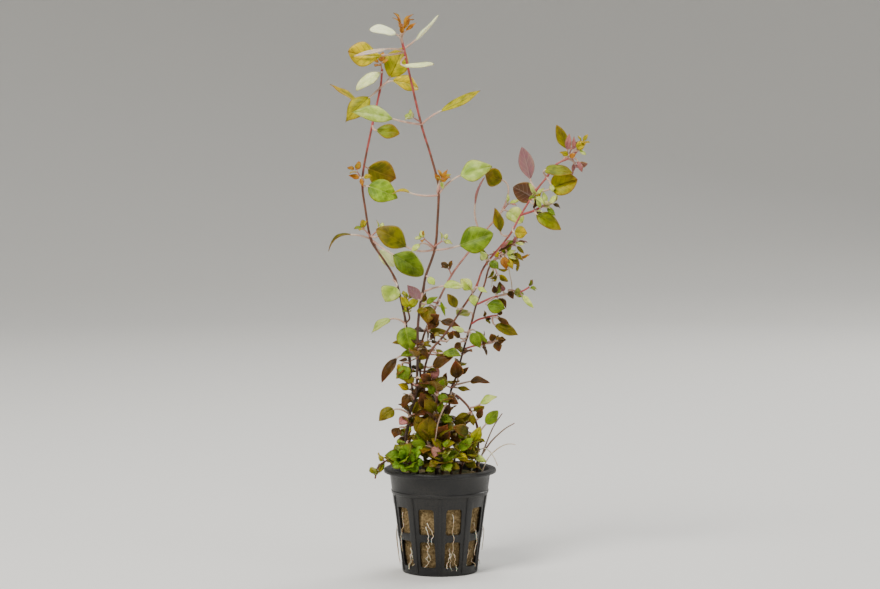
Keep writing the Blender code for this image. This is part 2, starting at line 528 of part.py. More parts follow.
def add_small_leaves(name, pairs, parts):
    """Each pair is one strip that runs through the stem, from one tip to the other"""
    for number, (first, second) in enumerate(pairs):
        rows = leaf_rows(first, 1, SMALL_ROWS)[::-1]
        for middle, across, up, half in leaf_rows(second, 1, SMALL_ROWS)[1:]:
            rows.append((middle, -across, up, half))
        strip_solid(f"{name}_pair_{number}", rows, (-1, 1), 0, first.root, SMALL_LEAF_THICKNESS, parts)


def radius_at(radii, axis, height):
    """A stem's radius at a height"""
    share = (height - axis[0].z) / (axis[-1].z - axis[0].z)
    return radii[0] + (radii[1] - radii[0]) * min(max(share, 0), 1)


def build_stem(name, stem, plant, parts):
    """A long stem with its sprouts. Gives back its axis"""
    route = [Vector(point) + lean_at(name, point[2]) for point in stem.path]
    axis = smooth_line(route, stem.points)
    paint(tube(name, axis, stem.radii, stem.sides, plant), "stem_red")
    for number, sprout in enumerate(SPROUTS[name]):
        add_small_leaves(f"{name}_sprout_{number}", sprout_leaves(axis, sprout), parts)
    return axis


def build_shoot(name, shoot, parent_axis, parent_radii, plant, parts):
    """A side shoot or tuft with its pairs of leaves. Gives back its axis"""
    route = [Vector(point) + lean_at(name, 0) for point in shoot.path]
    if shoot.parent:
        point, along = at_height(parent_axis, shoot.height)
        radius = radius_at(parent_radii, parent_axis, shoot.height)
        route.insert(0, step_clear(point, along, route[0], radius, shoot.radii[0]))
    axis = smooth_line(route, shoot.points)
    paint(tube(name, axis, shoot.radii, shoot.sides, plant), shoot.finish)
    bare = WOOL_TOP + 1
    leafy = even([point for point in axis if point.z > bare], shoot.points)
    add_small_leaves(name, small_leaves(leafy, shoot), parts)
    return axis


def turned(name, profile, sides, collection):
    """A round solid from the half outline of its section, drawn from the axis to the axis"""
    mesh = bpy.data.meshes.new(name)
    points = [(radius * MM, 0, height * MM) for radius, height in profile]
    mesh.from_pydata(points, [(i, i + 1) for i in range(len(points) - 1)], [])
    obj = link_mesh(name, mesh, collection, Vector())
    screw = obj.modifiers.new("Turn", "SCREW")
    screw.steps = sides
    screw.render_steps = sides
    screw.use_merge_vertices = True
    screw.merge_threshold = 0.00005
    screw.use_smooth_shade = True
    return obj


def box_cutter(name, size, location, turn, collection):
    mesh = bpy.data.meshes.new(name)
    shape = bmesh.new()
    bmesh.ops.create_cube(shape, size=1)
    bmesh.ops.scale(shape, vec=Vector(size) * MM, verts=shape.verts)
    shape.to_mesh(mesh)
    shape.free()
    obj = link_mesh(name, mesh, collection, Vector(location))
    obj.rotation_euler.z = turn


def pot_radius(height):
    """The outer wall's radius at a height"""
    return POT_FOOT_RADIUS + (POT_TOP_RADIUS - POT_FOOT_RADIUS) * height / POT_HEIGHT


def build_pot(plant, helpers):
    rim_under = POT_HEIGHT - RIM_DEPTH
    profile = [
        (0, POT_FLOOR), (pot_radius(POT_FLOOR) - POT_WALL, POT_FLOOR),
        (pot_radius(POT_HEIGHT) - POT_WALL, POT_HEIGHT), (RIM_RADIUS, POT_HEIGHT), (RIM_RADIUS, rim_under),
        (pot_radius(rim_under), rim_under), (POT_FOOT_RADIUS, 0), (0, 0)]
    pot = turned("pot", profile, POT_SIDES, plant)
    cutters = bpy.data.collections.new("pot_cutters")
    for height in WINDOW_CENTRES:
        for column in range(WINDOW_COLUMNS // 2):
            size = (3 * POT_TOP_RADIUS, WINDOW_WIDTH, WINDOW_HEIGHT)
            turn = tau * column / WINDOW_COLUMNS
            box_cutter(f"window_{height:.0f}_{column}", size, (0, 0, height), turn, cutters)
    for slot in range(FLOOR_SLOTS):
        turn = tau * slot / FLOOR_SLOTS
        place = (FLOOR_SLOT_RADIUS * cos(turn), FLOOR_SLOT_RADIUS * sin(turn), 0)
        box_cutter(f"floor_slot_{slot}", (*FLOOR_SLOT, 4 * POT_FLOOR), place, turn, cutters)
    combine(pot, "DIFFERENCE", cutters, helpers)
    paint(pot, "pot_plastic")


def build_wool(standing, plant, helpers):
    """A tapered plug with a hole round each stem"""
    foot = POT_FLOOR + GAP
    clear = POT_WALL + GAP + 0.1
    edge = WOOL_TOP - WOOL_CROWN - WOOL_SHOULDER
    profile = [
        (0, WOOL_TOP), (WOOL_FLAT_SHARE * POT_TOP_RADIUS, WOOL_TOP), (pot_radius(edge) - clear, edge),
        (pot_radius(foot) - clear, foot), (0, foot)]
    wool = turned("stone_wool", profile, WOOL_SIDES, plant)
    cutters = bpy.data.collections.new("wool_cutters")
    helpers.children.link(cutters)
    for name, axis, radii, sides in standing:
        sunk = [point for point in axis if point.z < WOOL_TOP + HOLE_REACH]
        if sunk[0].z > sunk[-1].z:
            sunk.reverse()
        below = sunk[0] - Vector((0, 0, HOLE_GAP))
        radius = max(radii) + HOLE_GAP
        tube(name + "_hole", [below] + sunk[1:], (radius, radius), sides, cutters)
    helpers.children.unlink(cutters)
    combine(wool, "DIFFERENCE", cutters, helpers)
    paint(wool, "wool")


def build_leaves(axes, radii, plant, grown):
    for stem, rows in LEAVES.items():
        for number, row in enumerate(rows, 1):
            large_leaf(f"{stem}_leaf_{number}", row, stem, axes[stem], radii[stem], True, plant)
    for stem, rows in GROWN_LEAVES.items():
        for number, row in enumerate(rows, 1):
            large_leaf(f"{stem}_grown_{number}", row, stem, axes[stem], radii[stem], False, grown[stem])


def build():
    empty_scene()
    plant = new_collection("potted_ludwigia")
    helpers = new_collection("cutters_and_guides")
    helpers.hide_render = True
    axes = {}
    radii = {}
    grown = {}
    for name in (*STEMS, *SHOOTS):
        grown[name] = new_collection(name + "_small_parts")
    for name, stem in STEMS.items():
        axes[name] = build_stem(name, stem, plant, grown[name])
        radii[name] = stem.radii
    for name, shoot in SHOOTS.items():
        parent = shoot.parent
        axes[name] = build_shoot(name, shoot, axes.get(parent), radii.get(parent), plant, grown[name])
        radii[name] = shoot.radii
    build_leaves(axes, radii, plant, grown)
    sunk = [name for name, axis in axes.items() if min(point.z for point in axis) < WOOL_TOP]
    standing = [(name, axes[name], radii[name], {**STEMS, **SHOOTS}[name].sides) for name in sunk]
    build_wool(standing, plant, helpers)
    build_pot(plant, helpers)
    for name, parts in grown.items():
        bpy.context.scene.collection.children.unlink(parts)
        combine(plant.objects[name], "UNION", parts, helpers)
    base = bpy.data.objects.new("potted_ludwigia_origin", None)
    plant.objects.link(base)
    for obj in plant.objects:
        if obj is not base:
            obj.parent = base


build()
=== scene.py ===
# %% [markdown]
# # A red stemmed marsh plant in its net pot
# The real plant grows in a small net pot filled with stone wool. Five long stems carry egg-shaped
# leaves in opposite pairs, and low leafy tufts crowd round their feet. The solids of every part are
# already packed, so this lesson makes what the eye sees over them.

from collections import namedtuple
from functools import partialmethod
import json
from math import cos, pi, radians, sin, tau
import random

import bpy
from mathutils import Matrix, Vector

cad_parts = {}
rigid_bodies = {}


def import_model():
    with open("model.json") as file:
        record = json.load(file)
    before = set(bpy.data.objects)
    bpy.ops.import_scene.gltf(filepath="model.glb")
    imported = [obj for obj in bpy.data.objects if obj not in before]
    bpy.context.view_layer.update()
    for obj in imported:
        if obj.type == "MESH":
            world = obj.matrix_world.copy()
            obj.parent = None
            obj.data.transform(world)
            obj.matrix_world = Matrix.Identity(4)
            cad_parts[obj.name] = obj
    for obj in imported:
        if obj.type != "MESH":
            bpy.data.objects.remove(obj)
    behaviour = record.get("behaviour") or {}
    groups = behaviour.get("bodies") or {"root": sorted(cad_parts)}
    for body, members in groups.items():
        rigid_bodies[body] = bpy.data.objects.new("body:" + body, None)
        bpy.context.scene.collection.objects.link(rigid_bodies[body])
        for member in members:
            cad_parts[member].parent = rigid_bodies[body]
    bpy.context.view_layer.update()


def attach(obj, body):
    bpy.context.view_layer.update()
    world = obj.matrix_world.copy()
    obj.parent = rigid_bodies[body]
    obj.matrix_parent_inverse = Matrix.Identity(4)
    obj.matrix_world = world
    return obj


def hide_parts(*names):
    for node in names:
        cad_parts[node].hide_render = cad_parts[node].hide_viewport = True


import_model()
MM = 0.001

# %% [markdown]
# ## Arithmetic that builds nodes
# A leaf's surface and its veins are both formulas. A small class that adds a Math node for each sign
# lets them be written as they are read, in Geometry Nodes and in materials alike.

# %% A number in a node tree
def plug(tree, value, socket):
    """Feeds a socket from another socket, or sets it"""
    if isinstance(value, (Number, Way)):
        value = value.socket
    if isinstance(value, bpy.types.NodeSocket):
        tree.links.new(value, socket)
    else:
        socket.default_value = value


class Number:
    """A number that a node tree works out. Arithmetic on it adds Math nodes"""

    def __init__(self, tree, socket):
        self.tree = tree
        self.socket = socket

    def math(self, operation, *values):
        node = self.tree.nodes.new("ShaderNodeMath")
        node.operation = operation
        for value, socket in zip((self, *values), node.inputs):
            plug(self.tree, value, socket)
        return Number(self.tree, node.outputs[0])

    __add__ = partialmethod(math, "ADD")
    __sub__ = partialmethod(math, "SUBTRACT")
    __mul__ = partialmethod(math, "MULTIPLY")
    __truediv__ = partialmethod(math, "DIVIDE")
    __pow__ = partialmethod(math, "POWER")
    __abs__ = partialmethod(math, "ABSOLUTE")
    at_least = partialmethod(math, "MAXIMUM")
    wave = partialmethod(math, "SINE")

    def __rsub__(self, other):
        return (self * -1) + other

    def ramp(self, start, end):
        """Rises smoothly from 0 to 1 as the number goes from start to end"""
        node = self.tree.nodes.new("ShaderNodeMapRange")
        node.interpolation_type = "SMOOTHSTEP"
        for value, socket in zip((self, start, end), node.inputs):
            plug(self.tree, value, socket)
        return Number(self.tree, node.outputs[0])


# %% A direction or place in a node tree
class Way:
    """A vector that a node tree works out"""

    def __init__(self, tree, socket):
        self.tree = tree
        self.socket = socket

    def vector_math(self, operation, other=None, scale=None):
        node = self.tree.nodes.new("ShaderNodeVectorMath")
        node.operation = operation
        plug(self.tree, self, node.inputs[0])
        if other is not None:
            plug(self.tree, other, node.inputs[1])
        if scale is not None:
            plug(self.tree, scale, node.inputs["Scale"])
        return Way(self.tree, node.outputs[0])

    __add__ = partialmethod(vector_math, "ADD")
    __sub__ = partialmethod(vector_math, "SUBTRACT")
    cross = partialmethod(vector_math, "CROSS_PRODUCT")
    unit = partialmethod(vector_math, "NORMALIZE")

    def __mul__(self, number):
        return self.vector_math("SCALE", scale=number)

    def parts(self):
        node = self.tree.nodes.new("ShaderNodeSeparateXYZ")
        plug(self.tree, self, node.inputs[0])
        return [Number(self.tree, socket) for socket in node.outputs]


# %% Start and run a Geometry Nodes tree
SOCKETS = {"float": "NodeSocketFloat", "int": "NodeSocketInt", "way": "NodeSocketVector",
           "shape": "NodeSocketGeometry", "finish": "NodeSocketMaterial"}
WRAPPERS = {"float": Number, "int": Number, "way": Way}


def new_tree(name, kind, inputs, outputs):
    """A node tree, its inputs by name and its output node"""
    tree = bpy.data.node_groups.new(name, kind)
    for direction, sockets in (("INPUT", inputs), ("OUTPUT", outputs)):
        for label, sort in sockets.items():
            tree.interface.new_socket(label, in_out=direction, socket_type=SOCKETS[sort])
    entry = tree.nodes.new("NodeGroupInput")
    values = {}
    for socket in entry.outputs[:-1]:
        wrapper = WRAPPERS.get(inputs[socket.name])
        values[socket.name] = wrapper(tree, socket) if wrapper else socket
    return tree, values, tree.nodes.new("NodeGroupOutput")


def add_node(tree, kind, settings=None, **inputs):
    """A node with its settings and inputs, whose names are in lower case with _ for a space"""
    node = tree.nodes.new(kind)
    for setting, value in (settings or {}).items():
        setattr(node, setting, value)
    for label, value in inputs.items():
        wanted = label.replace("_", " ")
        socket = next(s for s in node.inputs if s.name.lower() == wanted and s.enabled)
        plug(tree, value, socket)
    return node


def shaped(tree, kind, settings=None, **inputs):
    """What a node of Geometry Nodes makes"""
    return add_node(tree, "GeometryNode" + kind, settings, **inputs).outputs[0]


def combined(tree, **parts):
    """A vector from its x, y and z, which are 0 where they aren't given"""
    return add_node(tree, "ShaderNodeCombineXYZ", **parts).outputs[0]


# %% [markdown]
# A tree works on an object through a modifier. Its result is kept as a plain mesh, which shows the
# same shape in any program.

# %% Objects and plain meshes
def scene_object(name, data):
    """An object in the scene that shows a mesh, a lamp or a camera"""
    obj = bpy.data.objects.new(name, data)
    bpy.context.scene.collection.objects.link(obj)
    return obj


def plain_mesh(obj):
    """The mesh that an object's modifiers make of it"""
    graph = bpy.context.evaluated_depsgraph_get()
    return bpy.data.meshes.new_from_object(
        obj.evaluated_get(graph), preserve_all_data_layers=True, depsgraph=graph)


def made_by(tree, name, base, values):
    """The plain mesh object that a tree makes from a base mesh and named values"""
    carrier = scene_object(name, base)
    modifier = carrier.modifiers.new(tree.name, "NODES")
    modifier.node_group = tree
    for item in tree.interface.items_tree:
        if item.in_out == "INPUT" and item.name in values:
            modifier[item.identifier] = values[item.name]
    mesh = plain_mesh(carrier)
    bpy.data.objects.remove(carrier)
    mesh.name = name
    return scene_object(name, mesh)


# %% [markdown]
# ## Where the plant grows
# Each stem is a listed route, each large leaf a neck, a tip and a width, judged at 0.4 mm a
# pixel and repeated here from the solids. Small leaves follow the species' rule: opposite pairs, each
# a quarter turn from the last. All places are in millimetres, as if every stem stood upright, and the
# lean is added afterwards.

# %% Names of the leaf finishes
COLOURS = ("green", "pale", "yellow", "young", "olive", "bronze", "pink")
GREEN, PALE, YELLOW, YOUNG, OLIVE, BRONZE, PINK = ("leaf_" + colour for colour in COLOURS)
print("kinds of leaf:", ", ".join(COLOURS))

# %% Stems
WOOL_TOP = 47.0
# How far a stem leans back over LEAN_HEIGHT, its radius at foot and tip, rings, route, the two finishes of
# its small leaves, how far down it is red, as the power of its age, and the small leaves round its foot
# (from, to, pairs, length). Where they aren't as usual, how pale its top is and how thick it is
Stem = namedtuple("Stem", "lean radii points path finishes youth foot pale thickness", defaults=(0.0, 1.0))
LEAN_HEIGHT = 200.0
LEAN_POWER = 1.4
STEMS = {
    "tall_stem": Stem(-20, (0.85, 0.62), 15, [
        (-9.5, -7.5, 36), (-10.4, -8, 47), (-12.4, -8, 56), (-16.2, -7.5, 64), (-15.3, -7, 71),
        (-14.2, -6.5, 78), (-11.4, -6, 87), (-10.6, -5, 109), (-10.6, -4, 117.5), (-9.6, -3.5, 128.5),
        (-8, -3, 136), (-6.8, -2.5, 143), (-2.4, -2, 156), (-1.2, -1.5, 169), (-0.6, -1, 182),
        (-1, -1, 188), (-4.8, -1, 202), (-8.8, 0, 215), (-14.4, 1, 239), (-16.8, 1, 250), (-18.4, 1, 256)],
        (YELLOW, GREEN), 0.8, (52, 112, 8, 6.5)),
    "left_stem": Stem(22, (0.8, 0.6), 14, [
        (-6, 4, 36), (-6.5, 4, 47), (-9.5, 3, 66), (-11.5, 2, 78), (-13.6, 1, 90), (-14.6, 0, 102),
        (-16.4, 0, 119), (-18.2, 1, 128), (-21.7, 1.5, 140.5), (-26.8, 2, 149), (-33.2, 2, 159),
        (-36, 2, 174), (-37.4, 2, 184), (-36.8, 2, 193.5), (-32.4, 2, 215.5), (-28.8, 2, 232),
        (-28, 2, 241)], (YELLOW, GREEN), 0.8, (54, 112, 9, 6.5)),
    "right_stem": Stem(-16, (0.85, 0.65), 14, [
        (-1, 0, 36), (-1, 0, 47), (-4.5, 0.5, 66), (-7, 0, 82), (-7.6, -1, 96), (-4.5, -1, 106.5),
        (2.2, 0, 114.5), (10.8, 0, 127.5), (17, 0, 137), (21.2, 0, 147.5), (32.8, 0, 162), (38.3, 0, 172),
        (45.8, 0, 184), (50.6, 0, 190), (54.8, 0, 196), (62.4, 0, 200), (67, 0, 205)],
        (PINK, YOUNG), 1.5, (52, 118, 11, 6.5), 0.15, 0.82),
    "middle_stem": Stem(20, (0.75, 0.58), 11, [
        (1.5, 8, 36), (1, 8, 47), (-2, 7.5, 62), (-6.4, 7, 78), (-9.5, 6, 94), (-8.8, 5.5, 109.5),
        (-2.8, 5, 125), (5.3, 5, 141.5), (14.6, 5, 154), (20, 5, 161), (25.6, 5, 167.5), (31, 4, 174)],
        (BRONZE, PALE), 1.2, (52, 118, 11, 6.5), 0.6),
    "slim_stem": Stem(26, (0.72, 0.52), 11, [
        (5.5, -2, 36), (5.5, -2, 47), (3.5, 0, 66), (4.3, 1, 78), (5.2, 2, 86.5), (8, 3, 94),
        (11.4, 3, 106.5), (15.4, 3, 120), (17.6, 4, 128), (21.2, 4.5, 136.5), (24, 5, 146), (29, 5, 152),
        (34.5, 4, 155.5)], (BRONZE, OLIVE), 0.5, (54, 106, 8, 6)),
}
print("stems:", len(STEMS))

# %% [markdown]
# Side shoots grow from the leaf joints of a stem, and tufts are short shoots that stand in the wool.
# Both are a route with pairs of leaves along it, so one kind of row describes either.

# %% Side shoots, runners and tufts
# The stem that it leaves and at what height, or None where it stands in the wool, its slot, its radius
# at foot and tip, rings and route, and its pairs of leaves, their length, turn, seed and finishes
Shoot = namedtuple("Shoot", "parent height slot radii points path pairs leaf turn seed finishes")
SHOOTS = {
    "upper_right_shoot": Shoot("right_stem", 172, "stem_red", (0.56, 0.45), 5, [
        (44.2, -2, 174), (48, -2.5, 176), (50.4, -2.5, 177), (53, -2, 177.6)], 3, 5, 40, 11, (PALE, BRONZE)),
    "red_shoot": Shoot("slim_stem", 128, "stem_red", (0.52, 0.42), 5, [
        (24.8, 3, 131), (32, 2, 133), (38.4, 1, 134), (43, 1, 136.4)], 3, 5, 20, 5, (BRONZE, GREEN)),
    "low_red_shoot": Shoot("slim_stem", 118.5, "stem_red", (0.5, 0.42), 4, [
        (18.8, 0.5, 121), (24.8, -2, 122.8), (27.5, -3, 123.2)], 2, 4, 70, 3, (BRONZE, OLIVE)),
    "bronze_shoot": Shoot("slim_stem", 106.5, BRONZE, (0.46, 0.4), 4, [
        (15.8, 4, 107.8), (21.2, 5, 108.8), (26.5, 5.5, 110)], 2, 6, 50, 8, (BRONZE, OLIVE)),
    "young_shoot": Shoot("left_stem", 119, YELLOW, (0.46, 0.4), 5, [
        (-14.6, -3, 122), (-15.6, -4.5, 127), (-15.4, -5, 131)], 2, 6, 15, 21, (YELLOW, GREEN)),
    "right_runner": Shoot("slim_stem", 86, "stem_red", (0.58, 0.62), 10, [
        (9, -1, 84), (13.2, -3, 80), (15.2, -4, 76.5), (17.2, -5, 72.5), (18.4, -6, 66.5),
        (18.2, -7, 59.5), (17.6, -7, 47), (17, -6.5, 40)], 3, 5.5, 50, 2, (OLIVE, GREEN)),
    "rosette": Shoot(None, 0, GREEN, (0.65, 0.5), 5, [
        (-13, -9.5, 41), (-13.6, -10.5, 47), (-15, -12, 53), (-17, -14.5, 56.5)],
        4, 9.5, 50, 35, (GREEN, GREEN)),
    "trailing_shoot": Shoot(None, 0, GREEN, (0.5, 0.42), 7, [
        (-17, -2, 41), (-17.4, -2.4, 47), (-20, -4, 52.5), (-24.5, -6, 54.5), (-29.5, -8, 51.5),
        (-31, -9.5, 46)], 3, 5, 30, 14, (YELLOW, GREEN)),
    "front_tuft": Shoot(None, 0, OLIVE, (0.65, 0.5), 5, [
        (1, -12.5, 41), (1.2, -13, 47), (1.4, -15, 55), (1.4, -17, 61)], 4, 9, 35, 7, (OLIVE, GREEN)),
    "centre_tuft": Shoot(None, 0, OLIVE, (0.65, 0.5), 5, [
        (-1.5, -5.5, 41), (-1.7, -5.8, 47), (-3, -8.9, 62), (-2, -11, 78), (-1, -12, 88)],
        5, 10.5, 25, 9, (OLIVE, BRONZE)),
    "right_tuft": Shoot(None, 0, GREEN, (0.65, 0.5), 5, [
        (9, -8, 41), (9.4, -8.4, 47), (11, -10, 55), (13.4, -11.5, 62)], 4, 9, 15, 12, (OLIVE, GREEN)),
    "back_tuft": Shoot(None, 0, OLIVE, (0.65, 0.5), 5, [
        (6, 10, 41), (6.2, 10.4, 47), (8, 12.5, 58), (9, 13.5, 68)], 4, 9, 35, 17, (OLIVE, BRONZE)),
    "back_left_tuft": Shoot(None, 0, GREEN, (0.65, 0.5), 5, [
        (-11, 9, 41), (-11.4, 9.4, 47), (-13.5, 11.5, 56), (-16.5, 13, 63)], 3, 9, 5, 27, (GREEN, OLIVE)),
}
print("shoots:", len(SHOOTS))

# %% [markdown]
# A sprout is a bud that has opened into a few small leaves at a leaf joint, and belongs to its stem.

# %% Sprouts
# How broad small leaves are against their solids
BREADTH = 1.2
# The younger pairs round a sprout's own: place along it and size, as shares of its own, and turn
YOUNGER = ((1.25, 0.75, 90),)
CROWDED = ((0.5, 0.9, 60), (1.2, 0.8, 10))
# Height on the stem, way it grows, its length, pairs of leaves, their length, turn and seed. Where they
# differ from the stem's others, also their two finishes, their breadth and the younger pairs
Sprout = namedtuple("Sprout", "height way length pairs leaf turn seed finishes breadth younger",
                    defaults=(None, BREADTH, YOUNGER))
SPROUTS = {
    "tall_stem": [
        (255.5, (0.1, 0.1, 1), 5, 2, 6, 30, 1, (YOUNG, PALE), 0.6),
        (216, (-0.8, -0.3, 0.5), 4, 1, 4, 60, 2, (PALE, YOUNG)),
        (182.5, (0.35, -0.4, 1), 6, 1, 5, 10, 3, (YOUNG, YELLOW), 0.8),
        (157, (-0.8, -0.5, 0.7), 6, 1, 4, 20, 4, (PALE, YOUNG)),
        (157, (0.8, -0.5, 0.6), 5, 1, 4, 70, 5, (PALE, YOUNG))],
    "left_stem": [
        (240.5, (-0.2, -0.7, 1), 3, 1, 5, 20, 7, (YOUNG, YOUNG)),
        (186.5, (-0.6, -0.4, 1), 6, 1, 4.5, 15, 8, (YOUNG, YELLOW)),
        (160, (-0.7, -0.4, 0.9), 5, 1, 4.5, 35, 9), (160.5, (0.8, -0.3, 0.7), 5, 1, 4, 60, 10, (PALE, PALE)),
        (95, (-0.9, -0.3, 0.3), 3, 1, 5, 30, 32)],
    "right_stem": [
        (204.6, (0.2, -0.4, 0.5), 2, 1, 4, 20, 13, (YELLOW, YOUNG), 0.8),
        (200.5, (0.4, 0.6, 0.9), 3, 1, 5, 75, 14), (200.8, (0.6, 0.2, -1), 4, 1, 5.5, 15, 15),
        (180.6, (0.2, -0.8, 0.2), 4, 1, 5.5, 80, 16, (PALE, GREEN), 0.7),
        (154, (-0.8, 0.2, -0.3), 3, 1, 5, 45, 17, (GREEN, PALE)), (90, (0.5, -0.6, 0.4), 4, 1, 6, 20, 33)],
    "middle_stem": [
        (173.5, (0.5, -0.3, 0.6), 3, 1, 5, 10, 19, (PALE, PINK), 0.7),
        (141.5, (-0.4, -0.3, 1), 3, 1, 4.5, 80, 20), (128.5, (-0.7, -0.5, 0.2), 5, 1, 4.5, 30, 21),
        (108, (0.7, 0.5, 0.5), 4, 1, 5, 15, 34), (76, (0.7, 0.6, 0.6), 4, 1, 6, 45, 35)],
    "slim_stem": [
        (155, (0.6, -0.2, 0.6), 4, 2, 5, 10, 22, (OLIVE, PINK), 0.7),
        (153.5, (0.7, -0.3, -0.5), 6, 1, 5, 30, 23, (OLIVE, YOUNG), 0.7, CROWDED),
        (152, (0.3, -0.6, 0.1), 5, 1, 4.5, 60, 24, (GREEN, PALE), 0.9, CROWDED),
        (148, (0.3, -0.5, -0.8), 6, 1, 5.5, 0, 25, (OLIVE, YELLOW), 0.8, CROWDED),
        (88, (-0.6, -0.6, 0.3), 4, 1, 5.5, 20, 27)],
}
print("sprouts:", sum(len(rows) for rows in SPROUTS.values()))

# %% [markdown]
# The large leaves give the plant its likeness, and no two lie alike, so each has a row. Forty are
# solids. The others belong to the stem or tuft that they grow from.

# %% Large leaves and their places
# Height on the stem, neck where the blade begins, tip, width, way the upper side faces,
# rise of the midrib in the middle, fold of each half in degrees, finish
LEAVES = {
    "tall_stem": [
        (253, (-20.5, -3, 257.5), (-33, -5, 259.5), 9, (0.1, -0.5, 0.85), 1, 10, PALE),
        (250.5, (-11.5, 1, 254.5), (-0.8, 0.5, 266.6), 7, (-0.7, -0.15, 0.7), -0.8, 25, PALE),
        (247, (-17, -5, 242.5), (-3, -7.5, 244), 8, (0.1, -0.35, 1), -1, 22, PALE),
        (249, (-26.5, -1.5, 247.4), (-43, -4, 249.4), 13, (0.1, -0.85, 0.5), -1.5, 12, YELLOW),
        (215, (-22, -4, 217.8), (-41.2, -8.5, 221.4), 10, (0, -0.75, 0.65), 1, 12, PALE),
        (215, (0, -2, 221.2), (18.8, -4, 231.4), 8, (-0.35, -0.55, 0.75), -0.8, 18, YELLOW),
        (181.5, (9.4, -3, 191), (24.6, -4, 195.4), 11.2, (-0.2, -0.85, 0.5), 0.8, 10, PALE),
        (155.5, (-15.6, -5.5, 157.2), (-30, -6.5, 166), 11.5, (0.1, -0.85, 0.45), 1, 12, OLIVE),
        (155.5, (9.2, -4.5, 157.8), (25.2, -6, 163.6), 12.8, (0, -0.97, 0.25), 1, 8, GREEN),
        (135.5, (1.6, -5.5, 138.6), (11.4, -7, 137.8), 6.5, (0.1, -0.6, 0.8), 0.8, 18, PALE),
        (76, (-22, -9.5, 79.4), (-29.4, -11, 74.6), 7, (-0.3, -0.8, 0.5), 0.8, 12, OLIVE),
    ],
    "left_stem": [
        (232, (-24.4, 6.5, 237), (-17.6, 8.5, 251.6), 12, (0.15, -0.95, 0.1), 0.8, 12, YELLOW),
        (231, (-23, 1.5, 235.4), (-10, 6, 232), 9.4, (0.1, -0.75, 0.65), 1.2, 12, YELLOW),
        (239.5, (-28.6, -1, 239.4), (-40.4, -3.5, 230.6), 8, (-0.35, -0.7, 0.65), 1, 12, PALE),
        (216, (-38, 7, 223), (-53.4, 7.5, 233.6), 7, (0.4, -0.35, 0.85), 0.6, 15, YELLOW),
        (231.5, (-34, 0.5, 227.5), (-46, -1, 215.6), 10, (-0.35, -0.9, 0.3), 1, 12, YELLOW),
        (214, (-30.6, -1.5, 211.6), (-19.4, -2.5, 210.2), 7.5, (0, -0.9, 0.4), 0.8, 12, OLIVE),
        (194.5, (-34.8, 4.6, 193.2), (-21.2, 6, 188.2), 13.5, (0.1, -0.9, -0.3), 0.8, 10, OLIVE),
        (184.5, (-34.4, -2.5, 184.8), (-20.2, -4, 179.2), 11.8, (0, -0.9, 0.4), 0.8, 12, GREEN),
        (159, (-43, 2, 161.8), (-54, 1, 153.8), 8, (-0.35, -0.1, 1), 2.6, 15, OLIVE),
        (158.5, (-22.6, -6, 152.6), (-8, -8, 142.8), 12.4, (0.1, -0.85, 0.5), 1, 12, GREEN),
        (140, (-21, -2.5, 136.6), (-26.2, -7, 130), 11, (-0.1, -0.9, 0.45), 1, 26, PALE),
        (118.5, (-16.6, -7.5, 118), (-14, -9.5, 106.6), 10.5, (0, -1, 0.2), 1, 12, GREEN),
        (103, (-20.6, -3, 103), (-28.2, -5, 91.4), 6.5, (-0.7, -0.7, 0.2), 0.8, 14, BRONZE),
    ],
    "right_stem": [
        (198.5, (60.2, 1.5, 203), (54.8, 1, 214.6), 6.5, (-0.6, -0.5, 0.5), -0.6, 15, OLIVE),
        (182.5, (52.8, -2, 184.8), (65, -3.5, 189.2), 11.5, (0.1, -0.93, 0.35), 1, 16, YELLOW),
        (184, (43, 3.5, 188.4), (38.8, 4, 204.4), 7.5, (0.1, 0.9, 0.3), 0.6, 14, PINK),
        (180, (44.6, 5.5, 180), (35, 7.5, 185.2), 10.5, (0.1, 0.9, 0.3), 0.6, 10, BRONZE),
        (106.5, (1.2, -5, 106.2), (10, -7, 105.4), 6.5, (0, -0.6, 0.8), 0.8, 14, GREEN),
        (190, (49.6, -3, 193.6), (62.6, -6.6, 192), 7.5, (0.05, -0.7, 0.7), 0.8, 12, OLIVE),
    ],
    "middle_stem": [
        (172.5, (30, 5.5, 187.6), (21.2, 7.5, 191.4), 10, (-0.3, -0.85, -0.3), 0.8, 14, OLIVE),
        (161, (16.8, 8, 175.8), (21.2, 9.5, 189), 7, (-1, -0.1, 0.3), 0.6, 14, PINK),
        (173, (32.6, -3, 173), (39.6, -6, 168), 8.5, (0, -0.9, 0.5), 0.8, 24, PALE),
    ],
    "slim_stem": [
        (88, (8.6, -1.4, 93), (7.2, -2.4, 101.6), 6.5, (0, -1, 0.1), 0.6, 12, BRONZE),
        (89, (14.6, 1, 91.4), (24, -0.5, 91), 6, (0, -0.5, 0.9), 0.8, 14, BRONZE),
    ],
    "upper_right_shoot": [
        (174.8, (45.6, -5, 172.6), (57.2, -6.5, 165.2), 8.6, (0.1, -0.8, 0.6), 0.8, 12, OLIVE),
    ],
    "red_shoot": [
        (131.5, (22.6, -1, 128), (31.4, -4, 126.4), 7.5, (0, -0.9, 0.4), 0.6, 12, GREEN),
    ],
    "low_red_shoot": [
        (122.8, (26.4, -3, 118.6), (37.6, -4.5, 114), 6.5, (0, -0.75, 0.6), 0.6, 12, OLIVE),
    ],
    "right_runner": [
        (79, (19.2, -6, 81.2), (27, -7, 85.4), 5.5, (-0.4, -0.6, 0.7), 0.5, 14, PALE),
        (66.5, (22, -8, 71.8), (27.8, -9, 78.4), 5.5, (0.2, -0.85, 0.4), 0.5, 14, GREEN),
    ],
}

